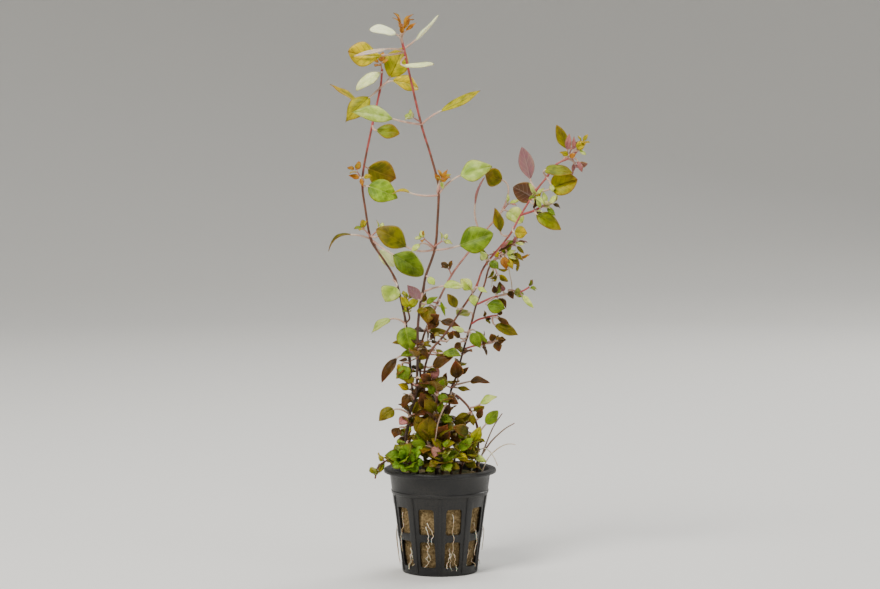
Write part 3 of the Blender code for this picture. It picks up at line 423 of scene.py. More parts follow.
# Leaves of the same form that are part of the stem they grow from
GROWN_LEAVES = {
    "tall_stem": [
        (181.5, (-14.4, -2, 183), (-22.8, -1.5, 182.6), 6.5, (0, -0.12, 1), 1, 15, YELLOW),
        (135.5, (-10.2, -5.5, 132), (-15.4, -8.5, 139.4), 6.5, (0.3, 0.8, 0.5), 0.5, 15, PINK),
        (70, (-19.5, -9, 70.5), (-22, -11, 66), 5.5, (-0.3, -0.9, 0.4), 0.8, 12, BRONZE),
    ],
    "left_stem": [
        (119, (-24, -1, 121.4), (-33.2, -2, 115), 6.5, (-0.5, -0.55, 0.7), 0.8, 14, PALE),
        (100, (-18.5, -5, 99.5), (-15.5, -8.5, 92), 7.5, (-0.3, -0.9, 0.3), 0.8, 12, GREEN),
        (157, (-29.6, 4.8, 153.8), (-22, 7, 145.6), 7, (0.2, -0.9, 0.3), 0.6, 14, PALE),
    ],
    "right_stem": [
        (162, (28.8, -3, 163.8), (25.8, -4, 175.6), 5.5, (0.4, -0.9, 0.2), 0.5, 14, OLIVE),
        (166, (35.4, -3, 163.9), (41.4, -4, 163.7), 6.5, (0, -0.9, 0.4), 0.5, 12, YELLOW),
        (137.5, (15.5, -4, 136.5), (10.6, -10, 141.6), 5.5, (0.3, -0.5, 0.8), 0.6, 15, PALE),
        (99, (-3.6, -5, 99.8), (6.4, -7, 104.6), 6, (0.2, -0.7, 0.6), 0.6, 14, BRONZE),
    ],
    "middle_stem": [
        (123.5, (0.4, 8, 119.8), (10.4, 6.5, 116), 5.5, (0, -0.6, 0.8), 0.8, 12, BRONZE),
        (121, (-4.6, 0.8, 118.6), (-1.2, -4.6, 123.6), 6.5, (0, -0.9, 0.4), 0.5, 12, BRONZE),
    ],
    "slim_stem": [
        (113, (15, -1, 114.6), (19.6, -3, 107.4), 6, (0.1, -0.9, 0.4), 0.6, 12, GREEN),
        (122, (14, 9, 124), (8, 14, 121), 8, (0.1, 0.5, 0.8), 0.8, 12, GREEN),
    ],
    "centre_tuft": [
        (60, (-6, -10.5, 64), (-4.8, -14.5, 77), 11, (0, -0.9, 0.3), 0.8, 12, OLIVE),
        (66, (-7, -10.5, 68), (-11.5, -13.5, 77), 7.5, (-0.2, -0.9, 0.3), 0.8, 12, OLIVE),
        (74, (-6, -10.5, 80), (-9, -13, 87.5), 6, (-0.2, -0.9, 0.3), 0.6, 12, BRONZE),
        (62, (-0.6, -12.5, 65), (3.6, -16.5, 73), 8, (0.1, -0.9, 0.3), 0.8, 12, BRONZE),
        (76, (-2.6, -13, 78.5), (-7.4, -15, 84.8), 6.5, (-0.1, -0.9, 0.3), 0.6, 12, OLIVE),
    ],
    "front_tuft": [
        (60, (-1, -18, 62.6), (-3, -21, 57.6), 5, (0, -0.9, 0.4), 0.6, 12, PINK),
    ],
    "right_tuft": [
        (58, (13.6, -13.5, 68.4), (6.4, -17.5, 71.8), 5.6, (0, -0.9, 0.4), 0.6, 12, BRONZE),
        (61, (15.4, -13.5, 64.4), (19.4, -15.5, 71.8), 5.4, (0.3, -0.9, 0.2), 0.5, 12, YELLOW),
    ],
}
print("large leaves:", sum(len(rows) for table in (LEAVES, GROWN_LEAVES) for rows in table.values()))

# %% [markdown]
# ## Smooth lines through the routes
# A Catmull-Rom curve passes through every given point without corners, and evenly spaced points
# on it give rings of even length.

# %% Points along a route
# Steps between two given points
FINE_STEPS = 8


def even(points, count):
    """The given number of points, evenly spaced along a fine line"""
    lengths = [0.0]
    for start, end in zip(points, points[1:]):
        lengths.append(lengths[-1] + (end - start).length)
    spaced = []
    span = 0
    for step in range(count):
        target = lengths[-1] * step / (count - 1)
        while span < len(points) - 2 and lengths[span + 1] < target:
            span += 1
        share = (target - lengths[span]) / (lengths[span + 1] - lengths[span])
        spaced.append(points[span].lerp(points[span + 1], share))
    return spaced


def smooth_line(route, count):
    """Evenly spaced points on the Catmull-Rom curve through a route"""
    knots = [Vector(point) for point in route]
    knots = [2 * knots[0] - knots[1]] + knots + [2 * knots[-1] - knots[-2]]
    fine = []
    for before, start, end, after in zip(knots, knots[1:], knots[2:], knots[3:]):
        for step in range(FINE_STEPS):
            t = step / FINE_STEPS
            bend = 2 * before - 5 * start + 4 * end - after
            swing = 3 * start - before - 3 * end + after
            fine.append(0.5 * (2 * start + (end - before) * t + bend * t * t + swing * t**3))
    fine.append(knots[-2])
    return even(fine, count)


def lean_at(name, height):
    """How far back a stem, or a shoot with its stem, has leant at a height"""
    while name in SHOOTS:
        shoot = SHOOTS[name]
        name = shoot.parent
        height = shoot.height
    if name is None or height < WOOL_TOP:
        return Vector()
    return Vector((0, STEMS[name].lean * ((height - WOOL_TOP) / LEAN_HEIGHT) ** LEAN_POWER, 0))


def at_height(axis, height):
    """The point of an axis at a height, and the axis's direction there"""
    for start, end in zip(axis, axis[1:]):
        if min(start.z, end.z) <= height <= max(start.z, end.z):
            share = (height - start.z) / (end.z - start.z)
            return start.lerp(end, share), (end - start).normalized()
    nearest = min((0, -1), key=lambda end: abs(axis[end].z - height))
    return axis[nearest].copy(), (axis[-1] - axis[-2]).normalized()


# %% [markdown]
# ## Finishes
# A leaf of this plant shines on top, with a darker net of veins and a red edge, and is duller, paler
# and often pink underneath. The veins follow the blade, so they are worked out from its UV map, once,
# in a shader group that every leaf finish shares.

# %% The veins of a blade
VEIN_PAIRS = 5.0
# How far toward the tip a side vein runs on its way to the edge, as a share of the blade
VEIN_SLANT = 0.42
# Cells of the fine net along a blade, and the usual breadth of a blade as a share of its length
NET_CELLS = 24.0
BLADE_SHAPE = 0.62


def vein_group():
    """Masks of the veins, the fine net and the margin, and a height for the Bump node"""
    outputs = {"Veins": "float", "Net": "float", "Margin": "float", "Tip": "float", "Height": "float"}
    tree, given, out = new_tree("leaf_veins", "ShaderNodeTree", {"Pairs": "float", "Slant": "float"}, outputs)
    uv = add_node(tree, "ShaderNodeUVMap", {"uv_map": "UVMap"}).outputs[0]
    x, along, _ = Way(tree, uv).parts()
    side = (x - 0.5) * 2
    across = abs(side)
    right = side.math("GREATER_THAN", 0)
    breadth = ((along.at_least(0) ** 0.8) * pi).wave().at_least(0.02) ** 0.7
    from_midrib = across * breadth
    midrib = 1 - from_midrib.ramp(0.012, 0.07 - along * 0.045)
    phase = (along - across * given["Slant"] * (1 - along * 0.45)) * given["Pairs"] + right * 0.5
    from_vein = phase.math("PINGPONG", 0.5) * 2
    secondary = (1 - from_vein.ramp(0.02, 0.17)) * (1 - across.ramp(0.7, 1.0))
    veins = midrib.at_least(secondary * 0.75)
    cells = add_node(tree, "ShaderNodeTexVoronoi", {"feature": "DISTANCE_TO_EDGE"},
                     vector=combined(tree, x=x * BLADE_SHAPE, y=along), scale=NET_CELLS)
    net = 1 - Number(tree, cells.outputs["Distance"]).ramp(0.0, 0.09)
    margin = across.ramp(0.72, 1.0).at_least(along.ramp(0.9, 1.0)).at_least(1 - along.ramp(0.0, 0.06))
    height = from_vein.ramp(0.0, 0.9) * 0.6 - midrib * 0.7 - net * 0.12
    results = {"Veins": veins, "Net": net, "Margin": margin, "Tip": along.ramp(0.35, 1.0), "Height": height}
    for label, value in results.items():
        plug(tree, value, out.inputs[label])
    return tree


# %% Patches and mottling
def mottle_group():
    """Soft cloudy patches and fine specks over a surface, from its place"""
    inputs = {"Patch": "float", "Speck": "float"}
    tree, given, out = new_tree("mottling", "ShaderNodeTree", inputs, {"Patches": "float", "Specks": "float"})
    place = add_node(tree, "ShaderNodeTexCoord").outputs["Object"]
    for label, size, detail in (("Patches", "Patch", 3.0), ("Specks", "Speck", 2.0)):
        noise = add_node(tree, "ShaderNodeTexNoise", vector=place, scale=given[size], detail=detail)
        plug(tree, Number(tree, noise.outputs[0]).ramp(0.35, 0.65), out.inputs[label])
    return tree


VEINS = vein_group()
MOTTLING = mottle_group()
print("shader groups:", [group.name for group in bpy.data.node_groups])

# %% [markdown]
# Every material is a Principled BSDF whose constants are set on its sockets. Only what changes over
# the surface comes through nodes.

# %% Helpers for a material
def mix(tree, factor, first, second, blend="MIX"):
    """A colour between two colours"""
    node = tree.nodes.new("ShaderNodeMix")
    node.data_type = "RGBA"
    node.blend_type = blend
    plug(tree, factor, node.inputs["Factor"])
    for socket, value in ((node.inputs[6], first), (node.inputs[7], second)):
        plug(tree, (*value, 1) if isinstance(value, tuple) and len(value) == 3 else value, socket)
    return node.outputs[2]


def new_material(name, **constants):
    """A material with a Principled BSDF and its constant values set on their sockets"""
    material = bpy.data.materials.new(name)
    material.use_nodes = True
    tree = material.node_tree
    shader = tree.nodes["Principled BSDF"]
    for label, value in constants.items():
        shader.inputs[label.replace("_", " ")].default_value = value
    return material, tree, shader


def placed(tree, group, **values):
    """A shader group placed in a material, with its own values"""
    node = tree.nodes.new("ShaderNodeGroup")
    node.node_tree = group
    for label, value in values.items():
        node.inputs[label].default_value = value
    return {socket.name: Number(tree, socket) for socket in node.outputs}


def attribute(tree, name):
    """A number that is stored on a piece's mesh"""
    node = add_node(tree, "ShaderNodeAttribute", {"attribute_name": name})
    return Number(tree, node.outputs["Fac"])


def bumped(tree, shader, height, strength, distance):
    """Gives a material relief from a height, at most as deep as a distance in metres"""
    bump = add_node(tree, "ShaderNodeBump", strength=strength, distance=distance, height=height)
    plug(tree, bump.outputs[0], shader.inputs["Normal"])


# %% [markdown]
# The leaves are green in the shade, and yellow or bronze in strong light, so one recipe makes seven
# finishes. Three attributes vary it from leaf to leaf: how light it is, partly at random and partly as
# painted shade and painted highlight, how much greener or whiter than its finish, the whiter partly a
# painted highlight, and how red its edge.

# %% Leaf finishes
# Light and dark patches of the upper side, its veins and how strong they are, its roughness, the colour
# of the underside, and how red the edge is
Look = namedtuple("Look", "light dark vein depth rough under blush")
LOOKS = {
    GREEN: Look(
        (0.185, 0.29, 0.008), (0.07, 0.13, 0.002), (0.38, 0.44, 0.09), 0.28, 0.42, (0.24, 0.31, 0.05), 0.15),
    # The pale finish is partly a real pale green and partly a painted highlight: its light base stands in for
    # the gloss that whitens leaves facing the light
    PALE: Look(
        (0.66, 0.74, 0.22), (0.38, 0.52, 0.06), (0.30, 0.40, 0.06), 0.35, 0.33, (0.54, 0.56, 0.22), 0.2),
    YELLOW: Look(
        (0.54, 0.395, 0.0), (0.27, 0.24, 0.0), (0.09, 0.055, 0.0), 0.85, 0.42, (0.36, 0.30, 0.04), 0.5),
    YOUNG: Look(
        (0.52, 0.23, 0.012), (0.26, 0.09, 0.006), (0.14, 0.04, 0.005), 0.5, 0.4, (0.44, 0.22, 0.05), 0.5),
    OLIVE: Look(
        (0.165, 0.14, 0.0), (0.07, 0.068, 0.0), (0.36, 0.26, 0.03), 0.32, 0.46, (0.19, 0.13, 0.02), 0.45),
    BRONZE: Look(
        (0.07, 0.032, 0.002), (0.024, 0.013, 0.001), (0.15, 0.08, 0.02), 0.3, 0.46, (0.08, 0.04, 0.016), 0.6),
    PINK: Look(
        (0.42, 0.15, 0.145), (0.22, 0.07, 0.07), (0.60, 0.42, 0.38), 0.35, 0.44, (0.215, 0.125, 0.12), 0.3),
}
# What a leaf of any finish can tend to: fresh green in light and dark patches, cream, which is partly a real
# whitish tone and partly a painted highlight on glossy leaves, a red edge
FRESH = ((0.16, 0.32, 0.006), (0.05, 0.13, 0.002))
CREAM_AND_SHEEN = (0.84, 0.84, 0.66)
BLUSH = (0.27, 0.05, 0.018)
# The underside's pinker patches, against its colour, and its veins
PINKER = (1.05, 0.74, 0.95)
UNDER_VEIN = (0.58, 0.44, 0.36)
# Light goes a little way into the flesh of a leaf
FLESH = {"Subsurface_Weight": 0.25, "Subsurface_Scale": 0.0012}


def leaf_top(name, look):
    """The shining upper side"""
    material, tree, shader = new_material(
        name + "_top", Roughness=look.rough, Subsurface_Radius=(0.9, 1.0, 0.3), Specular_IOR_Level=0.13,
        Coat_Weight=0.02, Coat_Roughness=0.25, **FLESH)
    veins = placed(tree, VEINS, Pairs=VEIN_PAIRS, Slant=VEIN_SLANT)
    spots = placed(tree, MOTTLING, Patch=260.0, Speck=2600.0)
    blade = mix(tree, spots["Patches"], look.light, look.dark)
    blade = mix(tree, veins["Net"] * 0.22, blade, look.dark)
    blade = mix(tree, veins["Veins"] * look.depth, blade, look.vein)
    greener = attribute(tree, "greener")
    blade = mix(tree, greener, blade, mix(tree, spots["Patches"], *FRESH))
    # Below 0, greener mixes the blade toward cream: partly a real whitish tone and partly a painted highlight
    # on glossy leaves
    blade = mix(tree, greener * -1, blade, CREAM_AND_SHEEN)
    blush = attribute(tree, "blush")
    red = (veins["Margin"] * 0.8 + veins["Tip"] * 0.45 + spots["Specks"] * 0.1) * blush
    blade = mix(tree, red.math("MINIMUM", 1.0), blade, BLUSH)
    # The shade attribute makes the blade lighter or darker: a random tone, painted shade on leaves in the
    # thick of the plant and in shadow, and a painted highlight on a few glossy leaves
    shade = attribute(tree, "shade") * 0.5 + 1
    grey = add_node(tree, "ShaderNodeCombineColor", red=shade, green=shade, blue=shade).outputs[0]
    plug(tree, mix(tree, 1.0, blade, grey, "MULTIPLY"), shader.inputs["Base Color"])
    bumped(tree, shader, veins["Height"] + spots["Specks"] * 0.06, 0.7, 0.00022)
    return material


def leaf_under(name, look):
    """The duller underside, with raised veins"""
    material, tree, shader = new_material(
        name + "_under", Roughness=0.5, Subsurface_Radius=(1.0, 0.7, 0.4), Specular_IOR_Level=0.22, **FLESH)
    veins = placed(tree, VEINS, Pairs=VEIN_PAIRS, Slant=VEIN_SLANT)
    spots = placed(tree, MOTTLING, Patch=300.0, Speck=2600.0)
    pinker = tuple(channel * factor for channel, factor in zip(look.under, PINKER))
    blade = mix(tree, spots["Patches"] * 0.8, look.under, pinker)
    # Below 0, greener mixes the underside toward cream: partly a real whitish tone and partly a painted
    # highlight
    blade = mix(tree, attribute(tree, "greener") * -1, blade, CREAM_AND_SHEEN)
    blade = mix(tree, veins["Veins"] * 0.25, blade, UNDER_VEIN)
    plug(tree, mix(tree, veins["Net"] * 0.2, blade, look.dark), shader.inputs["Base Color"])
    bumped(tree, shader, veins["Veins"] + spots["Specks"] * 0.08, 0.5, 0.00018)
    return material


TOPS = {name: leaf_top(name, look) for name, look in LOOKS.items()}
UNDERS = {name: leaf_under(name, look) for name, look in LOOKS.items()}
print("leaf finishes:", ", ".join(LOOKS))

# %% [markdown]
# The stems are pinkish red where they are young and dark brown near the wool. Age is stored along
# each stem as an attribute when its tube is made.

# %% Stems and stalks
# Pairs of colours that mix in patches, from the young top of a stem to its foot, and for pale stalks
STEM_COLOURS = (
    ((0.44, 0.066, 0.07), (0.29, 0.046, 0.038)), ((0.17, 0.062, 0.032), (0.11, 0.045, 0.022)),
    ((0.060, 0.032, 0.018), (0.032, 0.018, 0.011)), ((0.66, 0.58, 0.42), (0.60, 0.42, 0.32)))
STEM_SPECKS = (0.10, 0.035, 0.02)


def stem_finish():
    """Smooth skin with long fine streaks, red, brown or pale by the attributes of its tube"""
    material, tree, shader = new_material(
        "stem_skin", Roughness=0.42, Subsurface_Weight=0.12, Subsurface_Scale=0.001, Specular_IOR_Level=0.35)
    spots = placed(tree, MOTTLING, Patch=330.0, Speck=1800.0)
    age = attribute(tree, "age") + (spots["Patches"] - 0.5) * 0.12
    young, ripe, old, pale = (mix(tree, spots["Patches"], *pair) for pair in STEM_COLOURS)
    skin = mix(tree, age.ramp(0.1, 0.4), young, ripe)
    skin = mix(tree, age.ramp(0.35, 0.8), skin, old)
    skin = mix(tree, attribute(tree, "pale"), skin, pale)
    plug(tree, mix(tree, spots["Specks"] * 0.25, skin, STEM_SPECKS), shader.inputs["Base Color"])
    streaks = add_node(tree, "ShaderNodeTexNoise", scale=900.0, detail=2.0)
    long = add_node(tree, "ShaderNodeMapping", vector=add_node(tree, "ShaderNodeTexCoord").outputs["Object"],
                    scale=(1, 1, 0.12))
    plug(tree, long.outputs[0], streaks.inputs["Vector"])
    bumped(tree, shader, Number(tree, streaks.outputs[0]) + spots["Specks"] * 0.3, 0.5, 0.0001)
    return material


STEM_SKIN = stem_finish()
print("stem finish:", STEM_SKIN.name)

# %% [markdown]
# ## The leaf
# Every blade is the same formula: wide near its base, narrowing to a point, folded up along its
# midrib, bulging between its veins and thin at its edge. One tree with named inputs bends a grid by
# it, for the large leaves and the small ones.

# %% The sides of a blade
# The stalk goes from the root past the bend to the neck, and the blade from the neck to the tip
LEAF_INPUTS = {
    **dict.fromkeys(("Root", "Bend", "Neck", "Tip", "Face"), "way"),
    **dict.fromkeys(("Width", "Shoulder", "Base taper", "Tip taper", "Curl", "Stalk", "Arch", "Fold", "Quilt",
                     "Wave", "Phase", "Twist", "Detail", "Pale"), "float"),
    **dict.fromkeys(("Rows", "Columns", "Stalk steps", "Stalk sides"), "int"),
    **dict.fromkeys(("Top finish", "Under finish", "Stalk finish"), "finish")}
# Shares of a leaf's detail size, which is 1 mm on a large leaf: its thickness in the middle, and how
# close two points are when they are merged
THICKNESS = 0.36
MERGED = 0.004


def stored(tree, shape, name, value, sort="FLOAT", domain="POINT"):
    """The shape with an attribute that holds a value"""
    node = add_node(tree, "GeometryNodeStoreNamedAttribute", {"data_type": sort, "domain": domain},
                    geometry=shape, name=name)
    plug(tree, value, next(s for s in node.inputs if s.name == "Value" and s.enabled))
    return node.outputs[0]


def joined_shapes(tree, *shapes):
    """Several shapes as one"""
    node = tree.nodes.new("GeometryNodeJoinGeometry")
    for shape in shapes:
        tree.links.new(shape, node.inputs[0])
    return node.outputs[0]


def painted(tree, shape, finish):
    """A shape with a material"""
    return shaped(tree, "SetMaterial", geometry=shape, material=finish)


def ring(tree, sides, radius):
    """A circle to draw a tube with"""
    return shaped(tree, "CurvePrimitiveCircle", resolution=sides, radius=radius)


def blade(tree, given, side):
    """One side of the blade: 1 is the upper side and -1 the underside"""
    grid = shaped(tree, "MeshGrid", size_x=2.0, size_y=1.0, vertices_x=given["Columns"],
                  vertices_y=given["Rows"])
    x, y, _ = Way(tree, shaped(tree, "InputPosition")).parts()
    along = y + 0.5
    across = x.math("SIGN") * (abs(x) ** 1.35)
    spread = abs(across)
    length = given["Tip"] - given["Neck"]
    sideways = given["Face"].cross(length).unit()
    up = length.cross(sideways).unit()
    detail = given["Detail"]
    # Half the width: a bulge that is steeper toward the neck, and no narrower there than the stalk
    sharpness = given["Base taper"] + (given["Tip taper"] - given["Base taper"]) * along
    outline = ((along.at_least(0.0) ** given["Shoulder"]) * pi).wave().at_least(0.0) ** sharpness
    half = given["Width"] * 0.5 * outline
    half = half.at_least(given["Stalk"] * 0.4 * (1 - along))
    off = across * half
    # Relief: a groove along the midrib, bulges between the side veins, ripples toward the edge
    groove = detail / (((off / (detail * 0.4)) ** 2.0) + 1)
    right = across.math("GREATER_THAN", 0)
    phase = (along - spread * VEIN_SLANT * (1 - along * 0.45)) * VEIN_PAIRS + right * 0.5
    middle = spread.ramp(0.0, 0.35) * (1 - spread.ramp(0.55, 1.0))
    bulge = abs((phase * pi).wave()) * middle * given["Quilt"]
    ripple = (along * 9.0 + given["Phase"] + across * 0.8).wave() * (spread ** 3.0) * given["Wave"]
    # The halves are folded up, the midrib is arched, twisted and curled down at its tip
    lift = abs(off) * given["Fold"].wave() - half * (spread ** 2.5) * 0.16 + bulge + ripple
    lift = lift + given["Arch"] * 4 * along * (1 - along) + off * given["Twist"] * (along - 0.5)
    lift = lift - groove * 0.1 - given["Curl"] * (along ** 3.0)
    # The wall thins toward the edge and closes there
    ends = (1 - (spread ** 6.0)) * (1 - (abs(along - 0.5) * 2) ** 24.0)
    wall = detail * (THICKNESS / 2) * (1 - spread * 0.45)
    if side < 0:
        wall = (wall + groove * 0.3 * (1 - along)) * -1
    lift = lift + wall * ends
    place = given["Neck"] + length * along + sideways * (off * given["Fold"].math("COSINE")) + up * lift
    uv = combined(tree, x=across * 0.5 + 0.5, y=along)
    flat = stored(tree, grid, "UVMap", uv, "FLOAT2", "CORNER")
    return shaped(tree, "SetPosition", geometry=flat, position=place)


# %% The leaf tree
# A stalk's radius at its root as a share of its width, and how much of that it loses on its way
STALK_RADIUS = 0.58
STALK_TAPER = 0.14


def leaf_tree():
    """A closed blade of two sides on a round stalk that bends once"""
    tree, given, out = new_tree("leaf", "GeometryNodeTree", LEAF_INPUTS, {"Leaf": "shape"})
    top = painted(tree, blade(tree, given, 1), given["Top finish"])
    under = shaped(tree, "FlipFaces", mesh=blade(tree, given, -1))
    sides = joined_shapes(tree, top, painted(tree, under, given["Under finish"]))
    closed = shaped(tree, "MergeByDistance", geometry=sides, distance=given["Detail"] * MERGED)
    inside = given["Neck"] + (given["Tip"] - given["Neck"]) * 0.05
    line = shaped(tree, "CurveQuadraticBezier", resolution=given["Stalk steps"], start=given["Root"],
                  middle=given["Bend"], end=inside)
    share = Number(tree, shaped(tree, "SplineParameter"))
    paler = stored(tree, line, "pale", given["Pale"] * (share * 0.45 + 0.55))
    stalk = shaped(tree, "CurveToMesh", curve=paler, profile_curve=ring(tree, given["Stalk sides"], 1.0),
                   scale=given["Stalk"] * (STALK_RADIUS - share * STALK_TAPER), fill_caps=True)
    whole = joined_shapes(tree, closed, painted(tree, stalk, given["Stalk finish"]))
    plug(tree, shaped(tree, "SetShadeSmooth", geometry=whole), out.inputs["Leaf"])
    return tree


LEAF = leaf_tree()
print("leaf tree:", len(LEAF.nodes), "nodes")

# %% [markdown]
# A tree reads many values at once from a carrier mesh, whose points have attributes such as a size.

# %% Meshes that carry values into the trees
def carrier_mesh(name, points=(), edges=(), **values):
    """A mesh of points and edges, with a value of each attribute for every point"""
    mesh = bpy.data.meshes.new(name)
    mesh.from_pydata([point * MM for point in points], edges, [])
    for label, column in values.items():
        is_way = isinstance(column[0], Vector)
        layer = mesh.attributes.new(label, "FLOAT_VECTOR" if is_way else "FLOAT", "POINT")
        flat = [part for value in column for part in value] if is_way else column
        layer.data.foreach_set("vector" if is_way else "value", flat)
    return mesh


def spread_value(mesh, name, value):
    """The same value of an attribute for every point of a mesh"""
    layer = mesh.attributes.new(name, "FLOAT", "POINT")
    layer.data.foreach_set("value", [value] * len(mesh.vertices))


# %% [markdown]
# A large leaf is the leaf tree with the values of its row. What the row leaves open, such as ripples,
# is drawn at random from the leaf's name, so it is the same each time.

# %% One large leaf
# The stalk's width, and how far its bend lies from the neck as a share of the way to the root
PETIOLE_WIDTH = 0.9
PETIOLE_BEND = 0.45
# How broad a large leaf is against its row
LARGE_BREADTH = 1.05
# Rows and columns of the grid of a blade over a width, and of a smaller one
FINE_LEAF_WIDTH = 5.2
FINE_GRID, COARSE_GRID = (27, 19), (15, 9)
# How a leaf differs from its finish, by kind and number: how much lighter it is, and how much greener,
# or below 0 how much nearer to cream. Some of it is painted light: left_stem_leaf 10 is darker as painted
# shade, and tall_stem_leaf 1 and 3 and left_stem_leaf 3 are lighter and nearer to cream as a painted
# highlight
TONES_AND_PAINTED_LIGHT = {
    "tall_stem_leaf": {1: (0.3, -0.6), 2: (0.2, -0.5), 3: (0.2, -0.35), 4: (0.35, 0.1), 5: (-0.3, 0.3),
        6: (-0.05, 0.3), 7: (0.0, 0.5), 8: (-0.1, 0.1), 9: (-0.15, 0.0)},
    "left_stem_leaf": {1: (0.1, 0.25), 2: (0.25, 0.0), 3: (0.2, -0.3), 5: (-0.1, 0.35), 6: (0.5, 0.35),
        7: (0.1, 0.0), 8: (0.8, 0.0), 10: (-0.5, 0.0), 11: (-0.35, 0.2), 12: (0.1, 0.0), 13: (-0.5, 0.0)},
    "left_stem_grown": {1: (-0.5, 0.25), 3: (0.2, -0.4)},
    "right_stem_leaf": {1: (0.6, 0.0), 2: (-0.15, 0.3), 3: (-0.1, 0.0), 6: (0.6, 0.3)},
    "tall_stem_grown": {1: (-0.3, 0.0), 20: (0.3, -0.45)},
    "young_shoot_grown": {1: (0.3, 0.5), 2: (0.3, 0.5)},
    "right_tuft_grown": {2: (0.2, 0.45)},
    "red_shoot_leaf": {1: (0.1, 0.1)},
    "right_runner_leaf": {1: (0.0, 0.3)},
    "upper_right_shoot_leaf": {1: (0.5, 0.3)}}
# Outlines that differ from the usual: where the blade is widest, from 0.7 near the stalk to 1.3 near the
# tip, and how wedge-shaped its base and its tip are
OUTLINES = {
    "tall_stem_leaf": {1: (1.0, 0.7, 0.6), 3: (1.05, 0.6, 0.5), 4: (1.2, 1.35, 0.6), 5: (0.85, 1.25, 1.05),
        6: (0.85, 1.2, 0.95), 7: (0.8, 1.2, 0.8), 8: (0.95, 1.2, 0.6), 9: (0.85, 1.15, 0.7)},
    "left_stem_leaf": {1: (0.9, 0.8, 0.95), 2: (1.0, 0.8, 0.6), 3: (0.9, 0.9, 0.8), 6: (1.0, 0.8, 0.6),
        7: (0.9, 0.75, 0.85), 8: (0.8, 0.7, 0.9), 10: (0.95, 1.1, 0.55), 12: (0.8, 0.6, 0.8),
        13: (0.95, 0.9, 0.9)},
    "right_stem_leaf": {1: (1.0, 1.0, 0.8), 2: (0.8, 0.5, 0.7), 3: (0.95, 1.2, 0.85), 4: (0.85, 0.6, 0.7),
        6: (0.8, 0.5, 0.7)},
    "middle_stem_leaf": {3: (0.85, 0.45, 0.45)},
    "upper_right_shoot_leaf": {1: (0.85, 0.9, 1.0)}}
# How much greener the leaves of a shoot or tuft are
GREENER = {"rosette": 0.9, "trailing_shoot": 0.3, "front_tuft": 0.15, "right_tuft": 0.2, "young_shoot": 0.55}
# How much lighter the leaves in the thick of the plant are painted: below 0 this is painted shade
PAINTED_SHADE = {"centre_tuft": -0.35, "back_tuft": -0.2}
# The tuft that has only the roundest kind of leaf
ROUND_LEAVED = {"rosette"}
ROUND = (0.9, 0.5, 0.5)


def own(table, name, usual):
    """What a table holds for a numbered leaf, or else the usual"""
    kind, number = name.rsplit("_", 1)
    return table.get(kind, {}).get(int(number), usual)


def large_leaf(name, stem, row, axis):
    """A stalked leaf that grows from its stem's axis"""
    height, neck, tip, width, face, arch, fold, finish = row
    lean = lean_at(stem, height)
    root = at_height(axis, height)[0]
    neck = Vector(neck) + lean
    length = Vector(tip) + lean - neck
    face = Vector(face)
    up = length.cross(face.cross(length)).normalized()
    # The stalk enters the blade along its arched midrib, which starts at a slope of four times its rise
    way_in = (length + 4 * arch * up).normalized()
    draw = random.Random(name)
    usual = (draw.uniform(0.7, 0.95), draw.uniform(0.55, 1.1), draw.uniform(0.7, 1.25))
    shoulder, base, point = ROUND if stem in ROUND_LEAVED else own(OUTLINES, name, usual)
    rows, columns = FINE_GRID if width > FINE_LEAF_WIDTH else COARSE_GRID
    values = {
        "Root": root * MM, "Bend": (neck - way_in * PETIOLE_BEND * (neck - root).length) * MM,
        "Neck": neck * MM, "Tip": (Vector(tip) + lean) * MM, "Face": face,
        "Width": width * LARGE_BREADTH * MM, "Shoulder": shoulder, "Base taper": base, "Tip taper": point,
        "Curl": draw.uniform(-0.3, 0.9) * MM, "Stalk": PETIOLE_WIDTH * MM, "Arch": arch * MM,
        "Fold": radians(fold), "Quilt": width * draw.uniform(0.018, 0.028) * MM,
        "Wave": draw.uniform(0.15, 0.45) * MM, "Phase": draw.uniform(0, tau),
        "Twist": draw.uniform(-0.25, 0.25), "Detail": MM, "Pale": 0.9, "Rows": rows, "Columns": columns,
        "Stalk steps": 10, "Stalk sides": 8, "Top finish": TOPS[finish], "Under finish": UNDERS[finish],
        "Stalk finish": STEM_SKIN}
    leaf = made_by(LEAF, name, carrier_mesh(name), values)
    spread_value(leaf.data, "blush", LOOKS[finish].blush * draw.uniform(0.6, 1.4))
    # Unless the leaf has its own values, a random tone, darker by the painted shade of the thick of the plant
    usual = (draw.uniform(-0.35, 0.25) + PAINTED_SHADE.get(stem, 0.0), GREENER.get(stem, 0.0))
    tone, greener = own(TONES_AND_PAINTED_LIGHT, name, usual)
    spread_value(leaf.data, "shade", tone)
    spread_value(leaf.data, "greener", greener)
    return leaf


# %% [markdown]
# ## Small leaves by the hundred
# Sprouts, shoots and tufts carry nearly four hundred leaves of a few millimetres. Each is a point with
# a way ahead, a way it faces and a size, where Geometry Nodes puts one of three leaves that are folded
# and twisted differently.

# %% The tree that puts leaves on points
# A stalk's length as a share of its small blade, how far the blade's tip droops, and how high it arches
SMALL_PETIOLE = 0.3
TIP_DROOP = 0.15
SMALL_ARCH = 0.08
# Where the top pair of leaves sits on a shoot, and how much smaller than the lowest its leaves are
TOP_PAIR = 0.97
SHRINK = 0.35
# Fold, twist, wave, its phase, and how pointed the tip is. The last kind is the roundest
LEAF_KINDS = ((14.0, 0.3, 0.02, 0.0, 1.0), (22.0, -0.4, 0.035, 2.1, 0.8), (6.0, 0.1, 0.045, 4.0, 0.55))


